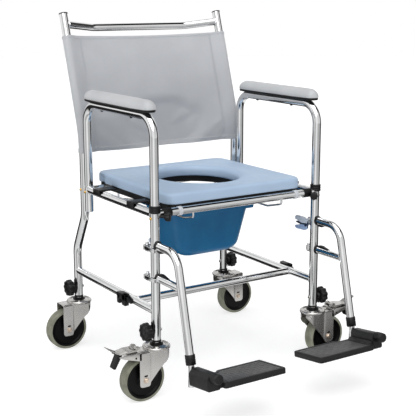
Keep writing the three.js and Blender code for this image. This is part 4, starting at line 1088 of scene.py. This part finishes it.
def pan():
    cy = PAN.y
    top, bottom = PAN_TOP - 3, PAN_BOTTOM

    def wall(z, gap=0.0):
        """The wall's outline at a height."""
        share = (z - bottom) / (top - bottom)
        scale = 0.76 + 0.24 * share
        return round_rect(131 * scale - gap, 111 * scale - gap, 46 * scale - gap * 0.6, 12, (0, cy), straight=10)

    def ring(outline, z):
        return [Vector((x, y, z)) for x, y in outline]
    rings = []
    foot = 30.0
    for k in range(3):
        rings.append(ring(wall(bottom, foot + 44 - 20 * k), bottom + 2.6 - 0.6 * k))
    for k in range(9):
        turn = math.pi / 2 * k / 8
        z = bottom + foot * (1 - math.cos(turn))
        rings.append(ring(wall(z, foot * (1 - math.sin(turn))), z))
    for k in range(1, 8):
        z = bottom + foot + (top - 2 - bottom - foot) * k / 8
        rings.append(ring(wall(z), z))
    rings.append(ring(wall(top - 3), top - 3))

    def flange(out_x, out_y, radius, z):
        return ring(round_rect(out_x, out_y, radius, 12, (0, cy), straight=10), z)
    rings += [flange(134, 112.5, 44, top - 0.4), flange(146, 115.5, 34, top), flange(156.4, 117.4, 31, top),
              flange(158, 118.4, 30.5, top + 0.2), flange(159, 119, 30, top + 1.2),
              flange(158.6, 118.8, 30, top + 2.4), flange(157, 118, 30.5, top + 3), flange(142, 114.6, 36, top + 3),
              flange(133, 111, 44, top + 3), flange(129.5, 109.2, 45, top + 2.2)]
    rings.append(ring(wall(top - 3, 3), top - 3))
    for k in range(1, 8):
        z = top - (top - bottom - foot) * k / 8
        rings.append(ring(wall(z, 3), z))
    for k in range(9):
        turn = math.pi / 2 * k / 8
        z = bottom + 3 + (foot - 3) * (1 - math.sin(turn))
        rings.append(ring(wall(z, 3 + (foot - 3) * (1 - math.cos(turn))), z))
    for k in range(3):
        rings.append(ring(wall(bottom, foot + 8 + 20 * k), bottom + 3.6 + 0.6 * k))
    form = Form().skin(rings)
    # A skirt stiffens the flange's front between the runners.
    skirt = rounded([(-122, top - 14), (122, top - 14), (126, top + 1), (-126, top + 1)], 3)
    form.prism(skirt, -118.6, -115.4, xz(cy), 0.6)
    form.piece("pan_bucket", PAN_BLUE, "pan", "pan", ["pan"], sharp=50)


# ---- backrest sling ----------------------------------------------------------------------------------
def upright_frames(count):
    """(point on the left upright's centre line, direction along it) at even steps up the sling."""
    stations = bent(UPRIGHT_CORNERS, UPRIGHT_BENDS, 40)
    lengths = [0.0]
    for (a, _), (b, _) in zip(stations, stations[1:]):
        lengths.append(lengths[-1] + (b - a).length)

    def at_height(z):
        for (a, _), (b, _), s0, s1 in zip(stations, stations[1:], lengths, lengths[1:]):
            if a.z <= z <= b.z:
                return s0 + (s1 - s0) * (z - a.z) / (b.z - a.z)
        return lengths[-1]

    def at_length(s):
        for (a, d0), (b, d1), s0, s1 in zip(stations, stations[1:], lengths, lengths[1:]):
            if s0 <= s <= s1 and s1 > s0:
                t = (s - s0) / (s1 - s0)
                return a.lerp(b, t), d0.lerp(d1, t).normalized()
        return stations[-1]
    start, end = at_height(SLING_LOW), at_height(SLING_HIGH)
    return [at_length(start + (end - start) * k / (count - 1)) for k in range(count)], end - start


def simulated_panel(columns, rows):
    """The cloth between the two seams after it has settled, as rows of points in the chair's millimetres."""
    stations, length = upright_frames(rows)
    inner = HALF - SEAM_IN
    grid = []
    for k, (point, direction) in enumerate(stations):
        back = direction.cross(Vector((1, 0, 0)))
        if back.y < 0:
            back = -back
        t = k / (rows - 1)
        row = []
        for i in range(columns):
            u = i / (columns - 1)
            # A back has pressed the lower middle out into a shallow cup with a creased rim.
            away = math.hypot((u - 0.55) / 0.37, (t - 0.20) / 0.27)
            rim = min(max((1.0 - away) / 0.34, 0.0), 1.0)
            depth = 2.0 * math.sin(math.pi * u) + 19.0 * rim * rim * (3 - 2 * rim)
            row.append(Vector((-inner + 2 * inner * u, point.y, point.z)) + back * depth)
        grid.append(row)
    mesh = bpy.data.meshes.new("sling_trial")
    points = [(p.x * MM, (p.y + SHIFT_Y) * MM, p.z * MM) for row in grid for p in row]
    faces = [(r * columns + c, r * columns + c + 1, (r + 1) * columns + c + 1, (r + 1) * columns + c)
             for r in range(rows - 1) for c in range(columns - 1)]
    mesh.from_pydata(points, [], faces)
    trial = bpy.data.objects.new("sling_trial", mesh)
    bpy.context.scene.collection.objects.link(trial)
    pins = trial.vertex_groups.new(name="pins")
    pins.add([r * columns + c for r in range(rows) for c in (0, columns - 1)], 1.0, "REPLACE")
    cloth = trial.modifiers.new("cloth", "CLOTH")
    settings = cloth.settings
    settings.vertex_group_mass = "pins"
    settings.quality = 8
    settings.mass = 0.45
    settings.tension_stiffness = settings.compression_stiffness = 40
    settings.shear_stiffness = 20
    settings.bending_stiffness = 1.5
    settings.air_damping = 3
    settings.effector_weights.gravity = 0.15
    cloth.collision_settings.use_collision = False
    cloth.point_cache.frame_start, cloth.point_cache.frame_end = 1, 40
    for step in range(1, 41):
        bpy.context.scene.frame_set(step)
    done = trial.evaluated_get(bpy.context.evaluated_depsgraph_get())
    settled = [v.co.copy() for v in done.data.vertices]
    bpy.data.objects.remove(trial)
    bpy.context.scene.frame_set(1)
    settled = [Vector((v.x / MM, v.y / MM - SHIFT_Y, v.z / MM)) for v in settled]
    return [settled[r * columns:(r + 1) * columns] for r in range(rows)], length


def sling():
    columns, rows = 61, 45
    grid, length = simulated_panel(columns, rows)

    def panel(u, t):
        """The settled panel at a share of its width and height."""
        c, r = min(u * (columns - 1), columns - 1.001), min(t * (rows - 1), rows - 1.001)
        i, j = int(c), int(r)
        a, b = grid[j][i].lerp(grid[j][i + 1], c - i), grid[j + 1][i].lerp(grid[j + 1][i + 1], c - i)
        return a.lerp(b, r - j)

    hem_top, hem_low = 8.0, 13.0
    heights = [0, 0.8, 2.5, hem_low / 2, hem_low - 2, hem_low - 0.5, hem_low + 0.8, hem_low + 3]
    heights += [hem_low + 3 + (length - hem_low - hem_top - 6) * k / 42 for k in range(1, 42)]
    heights += [length - hem_top - 3, length - hem_top - 0.8, length - hem_top + 0.5, length - hem_top / 2, length - 2.5,
                length - 0.8, length]
    fine, _ = upright_frames(400)
    wrap = math.acos(SLEEVE_R / SEAM_IN)
    arc_steps, flat_steps = 22, 5

    def frame_at(height):
        k = height / length * 399
        i = min(int(k), 398)
        (a, d0), (b, d1) = fine[i], fine[i + 1]
        return a.lerp(b, k - i), d0.lerp(d1, k - i).normalized()

    def sleeve(height, sign):
        """Points round one sleeve at a height, from its rear seam round the tube to its front seam."""
        point, direction = frame_at(height)
        back = direction.cross(Vector((1, 0, 0)))
        if back.y < 0:
            back = -back
        settled = panel(0.0 if sign < 0 else 1.0, height / length)
        across = []
        start = (-SEAM_IN, 1.0)
        angles = [math.pi - wrap - (2 * math.pi - 2 * wrap) * k / arc_steps for k in range(arc_steps + 1)]
        arc = [(SLEEVE_R * math.cos(a), SLEEVE_R * math.sin(a)) for a in angles]
        for k in range(flat_steps):
            s = k / flat_steps
            ease = s * s * (3 - 2 * s) * 0.35 + s * 0.65
            across.append((start[0] + (arc[0][0] - start[0]) * s, start[1] + (arc[0][1] - start[1]) * ease))
        across += arc
        for k in range(1, flat_steps + 1):
            s = k / flat_steps
            ease = s * s * (3 - 2 * s) * 0.35 + s * 0.65
            across.append((arc[-1][0] + (-SEAM_IN - arc[-1][0]) * s, arc[-1][1] + (-0.2 - arc[-1][1]) * ease))
        del settled
        return [Vector((sign * (HALF + dx), point.y, point.z)) + back * depth for dx, depth in across]

    rings = []
    for height in heights:
        left = sleeve(height, -1)
        right = sleeve(height, 1)
        inner = [panel(i / 80, height / length) for i in range(1, 80)]
        rings.append(left + inner + list(reversed(right)))
    form = Form()
    width = len(rings[0])
    points = [p for ring in rings for p in ring]
    faces = [(r * width + c, r * width + c + 1, (r + 1) * width + c + 1, (r + 1) * width + c)
             for r in range(len(rings) - 1) for c in range(width - 1)]
    form.add(points, faces)
    made = form.piece("sling_cloth_panel", CLOTH, "frame", "sling", ["backrest_sling"], sharp=80)
    # The hems are two layers, so the cloth is thicker there.
    hems = made.vertex_groups.new(name="hems")
    for r, height in enumerate(heights):
        doubled = height < hem_low or height > length - hem_top
        hems.add([r * width + c for c in range(width)], 1.0 if doubled else 0.35, "REPLACE")
    thick = made.modifiers.new("thickness", "SOLIDIFY")
    thick.thickness = 3.6 * MM
    thick.offset = 0
    thick.vertex_group = "hems"
    apply_modifiers(made)
    smooth = made.modifiers.new("smooth", "SUBSURF")
    smooth.levels = smooth.render_levels = 1

    stitches = Form()

    def stitch(a, b, outwards, width_mm=0.55, height_mm=0.35):
        ahead = (b - a).normalized()
        side = ahead.cross(outwards).normalized() * width_mm
        lift = outwards * height_mm
        end0, end1 = a + ahead * 0.3, b - ahead * 0.3
        stitches.add([a, end0 + side, end0 + lift, end0 - side, end1 + side, end1 + lift, end1 - side, b, (end0 - lift), (end1 - lift)],
                     [(0, 1, 2), (0, 2, 3), (1, 4, 5, 2), (2, 5, 6, 3), (4, 7, 5), (5, 7, 6), (0, 8, 1), (0, 3, 8), (1, 8, 9, 4),
                      (3, 6, 9, 8), (4, 9, 7), (6, 7, 9)])

    def run(place, total, gap=3.4, stitch_length=2.6):
        count = int(total / gap)
        for k in range(count):
            s0 = (k * gap + 0.4) / total
            s1 = (k * gap + 0.4 + stitch_length) / total
            (a, outwards), (b, _) = place(s0), place(s1)
            for sign in (1, -1):
                lift = outwards * sign * 1.75
                stitch(a + lift, b + lift, outwards * sign)

    def across(height):
        def place(s):
            point, direction = frame_at(height)
            back = direction.cross(Vector((1, 0, 0)))
            return panel(s, height / length), (back if back.y > 0 else -back)
        return place

    def upward(u):
        def place(s):
            _, direction = frame_at(s * length)
            back = direction.cross(Vector((1, 0, 0)))
            return panel(u, s), (back if back.y > 0 else -back)
        return place
    span = 2 * (HALF - SEAM_IN)
    for height in (hem_low - 2.2, length - hem_top + 1.6):
        run(across(height), span)
    for u in (0.004, 0.012, 0.988, 0.996):
        run(upward(u), length)
    thread = stitches.piece("sling_stitching", THREAD, "frame", side=1, sharp=60)


def apply_modifiers(made):
    """Freezes a piece's modifiers into its mesh."""
    bpy.context.view_layer.update()
    graph = bpy.context.evaluated_depsgraph_get()
    done = bpy.data.meshes.new_from_object(made.evaluated_get(graph))
    made.modifiers.clear()
    made.data = done


# ---- assembly ----------------------------------------------------------------------------------------
for word, side in SIDES:
    front_leg(word, side)
    rear_upright(word, side)
    seat_rail(word, side)
    lower_rail(word, side)
    pan_rail(word, side)
    snap_buttons(word, side)
    armrest(word, side)
    footrest(word, side)
    release_lever(word, side)
    rail_catch(word, side)
    front_bar_fittings(word, side)
    brake(word, side)
    for end, y in (("front", FRONT_Y), ("rear", REAR_Y)):
        stem(end, y, word, side)
        star_knob(end, y, word, side)
        castor(end, y, word, side)
cross_bars()
seat()
pan()
sling()


# ---- stage -------------------------------------------------------------------------------------------
def floor():
    f = Finish("floor")
    f.colour(f.noise(1.5, 3.0), (0.50, 0.50, 0.50), (0.53, 0.53, 0.53))
    f.roughness(f.noise(5.0, 3.0), 0.7, 0.8)
    f.shader.inputs["Specular IOR Level"].default_value = 0.1
    f.shader.inputs["Emission Color"].default_value = (1, 1, 1, 1)
    f.shader.inputs["Emission Strength"].default_value = 0.66
    disc("floor", 14.0, 0.0, f.material)


SKY = 0.30                        # how much light the studio's walls give


def by_bearing(tree, place, stops):
    """A grey that changes round the compass: 0 at the front (-y), then -x, the back at a half and +x."""
    split = tree.nodes.new("ShaderNodeSeparateXYZ")
    tree.links.new(place, split.inputs[0])
    bearing = tree.nodes.new("ShaderNodeMath")
    bearing.operation = "ARCTAN2"
    tree.links.new(split.outputs["X"], bearing.inputs[0])
    tree.links.new(split.outputs["Y"], bearing.inputs[1])
    turns = tree.nodes.new("ShaderNodeMapRange")
    turns.inputs["From Min"].default_value = -math.pi
    turns.inputs["From Max"].default_value = math.pi
    tree.links.new(bearing.outputs[0], turns.inputs["Value"])
    return grey_ramp(tree, turns.outputs["Result"], stops), split.outputs["Z"]


def grey_ramp(tree, source, stops):
    made = tree.nodes.new("ShaderNodeValToRGB")
    elements = made.color_ramp.elements
    while len(elements) < len(stops):
        elements.new(0.5)
    for element, (where, value) in zip(elements, stops):
        element.position = where
        element.color = (value, value, value, 1)
    tree.links.new(source, made.inputs["Fac"])
    return made.outputs["Color"]


def world():
    """A white studio. Glossy rays alone see a painted reflection of darker flags, which draws the streaks on the
    chrome.
    """
    sky = bpy.data.worlds.new("studio")
    bpy.context.scene.world = sky
    sky.use_nodes = True
    tree = sky.node_tree
    tree.nodes.clear()

    def mix(factor, first, second, blend="MIX"):
        made = tree.nodes.new("ShaderNodeMix")
        made.data_type, made.blend_type = "RGBA", blend
        for socket, value in zip((made.inputs[0], made.inputs[6], made.inputs[7]), (factor, first, second)):
            if isinstance(value, bpy.types.NodeSocket):
                tree.links.new(value, socket)
            else:
                socket.default_value = value
        return made.outputs[2]
    place = tree.nodes.new("ShaderNodeTexCoord").outputs["Generated"]
    walls, height = by_bearing(tree, place, [(0.0, 0.70), (0.10, 1.0), (0.19, 0.8), (0.24, 0.5), (0.30, 0.9), (0.41, 0.95),
                                             (0.46, 0.6), (0.50, 0.95), (0.70, 0.95), (0.74, 0.04), (0.83, 0.04),
                                             (0.86, 0.75), (1.0, 0.70)])
    spread = tree.nodes.new("ShaderNodeMapRange")
    spread.inputs["From Min"].default_value = -1.0
    tree.links.new(height, spread.inputs["Value"])
    roof = grey_ramp(tree, spread.outputs["Result"], [(0.0, 0.9), (0.5, 1.0), (0.83, 1.0), (0.86, 0.03), (0.93, 0.03),
                                                      (0.96, 1.0), (1.0, 1.0)])
    rays = tree.nodes.new("ShaderNodeLightPath")
    # Painted reflection: glossy rays see the banded walls and roof, other rays see the even SKY level.
    seen = mix(rays.outputs["Is Glossy Ray"], (SKY, SKY, SKY, 1), mix(1.0, walls, roof, "MULTIPLY"))
    light = tree.nodes.new("ShaderNodeBackground")
    tree.links.new(mix(rays.outputs["Is Camera Ray"], seen, (1, 1, 1, 1)), light.inputs["Color"])
    out = tree.nodes.new("ShaderNodeOutputWorld")
    tree.links.new(light.outputs[0], out.inputs["Surface"])


def disc(name, radius, height, material):
    mesh = bpy.data.meshes.new(name)
    rim = [(radius * math.cos(2 * math.pi * i / 96), radius * math.sin(2 * math.pi * i / 96), height) for i in range(96)]
    mesh.from_pydata(rim, [], [tuple(range(96))])
    mesh.materials.append(material)
    made = bpy.data.objects.new(name, mesh)
    bpy.context.scene.collection.objects.link(made)
    return made


def painted_reflection_disc():
    """Painted reflection: a glowing disc seen only by reflection rays, so polished metal facing the floor sees a light
    ground crossed by dark flags.
    """
    f = Finish("painted_reflection_disc")
    shade, _ = by_bearing(f.tree, f.place, [(0.0, 0.50), (0.06, 0.72), (0.105, 1.0), (0.15, 0.86), (0.20, 0.50), (0.26, 0.40),
                                            (0.29, 0.85), (0.35, 0.70), (0.385, 0.02), (0.60, 0.02), (0.635, 0.85),
                                            (0.70, 0.95), (0.73, 0.02), (0.84, 0.02), (0.87, 0.50), (0.94, 0.45), (1.0, 0.50)])
    f.link(shade, f.shader.inputs["Emission Color"])
    f.shader.inputs["Emission Strength"].default_value = 1.0
    f.shader.inputs["Base Color"].default_value = (0, 0, 0, 1)
    f.shader.inputs["Specular IOR Level"].default_value = 0.0
    made = disc("painted_reflection_disc", 13.9, 0.0006, f.material)
    for kind in ("camera", "diffuse", "shadow", "transmission", "volume_scatter"):
        setattr(made, "visible_" + kind, False)


def softbox(name, place, target, size, power):
    data = bpy.data.lights.new(name, "AREA")
    data.size = size
    data.energy = power
    made = bpy.data.objects.new(name, data)
    made.location = place
    made.rotation_mode = "QUATERNION"
    made.rotation_quaternion = (Vector(place) - Vector(target)).to_track_quat("Z", "Y")
    bpy.context.scene.collection.objects.link(made)


def camera():
    azimuth, elevation = math.radians(-33.167), math.radians(12.5)
    target, distance = Vector((-0.0187, 0.0074, 0.4708)), 2.7892
    back = Vector((math.sin(azimuth) * math.cos(elevation), -math.cos(azimuth) * math.cos(elevation), math.sin(elevation)))
    data = bpy.data.cameras.new("camera")
    data.sensor_width = 36.0
    data.lens = 83.95
    data.clip_end = 60.0
    made = bpy.data.objects.new("camera", data)
    made.location = target + back * distance
    made.rotation_mode = "QUATERNION"
    made.rotation_quaternion = back.to_track_quat("Z", "Y")
    bpy.context.scene.collection.objects.link(made)
    bpy.context.scene.camera = made


def overhead(strength):
    """A wide soft source above, leaning to the front left."""
    data = bpy.data.lights.new("overhead", "SUN")
    data.energy = strength
    data.angle = math.radians(75)
    made = bpy.data.objects.new("overhead", data)
    made.rotation_mode = "QUATERNION"
    made.rotation_quaternion = Vector((-0.32, -0.34, 1.0)).to_track_quat("Z", "Y")
    bpy.context.scene.collection.objects.link(made)


floor()
painted_reflection_disc()
world()
softbox("key", (-1.6, -2.4, 2.6), (0, 0, 0.5), 1.2, 9)
overhead(2.3)
camera()
bpy.context.scene.view_settings.view_transform = "Standard"
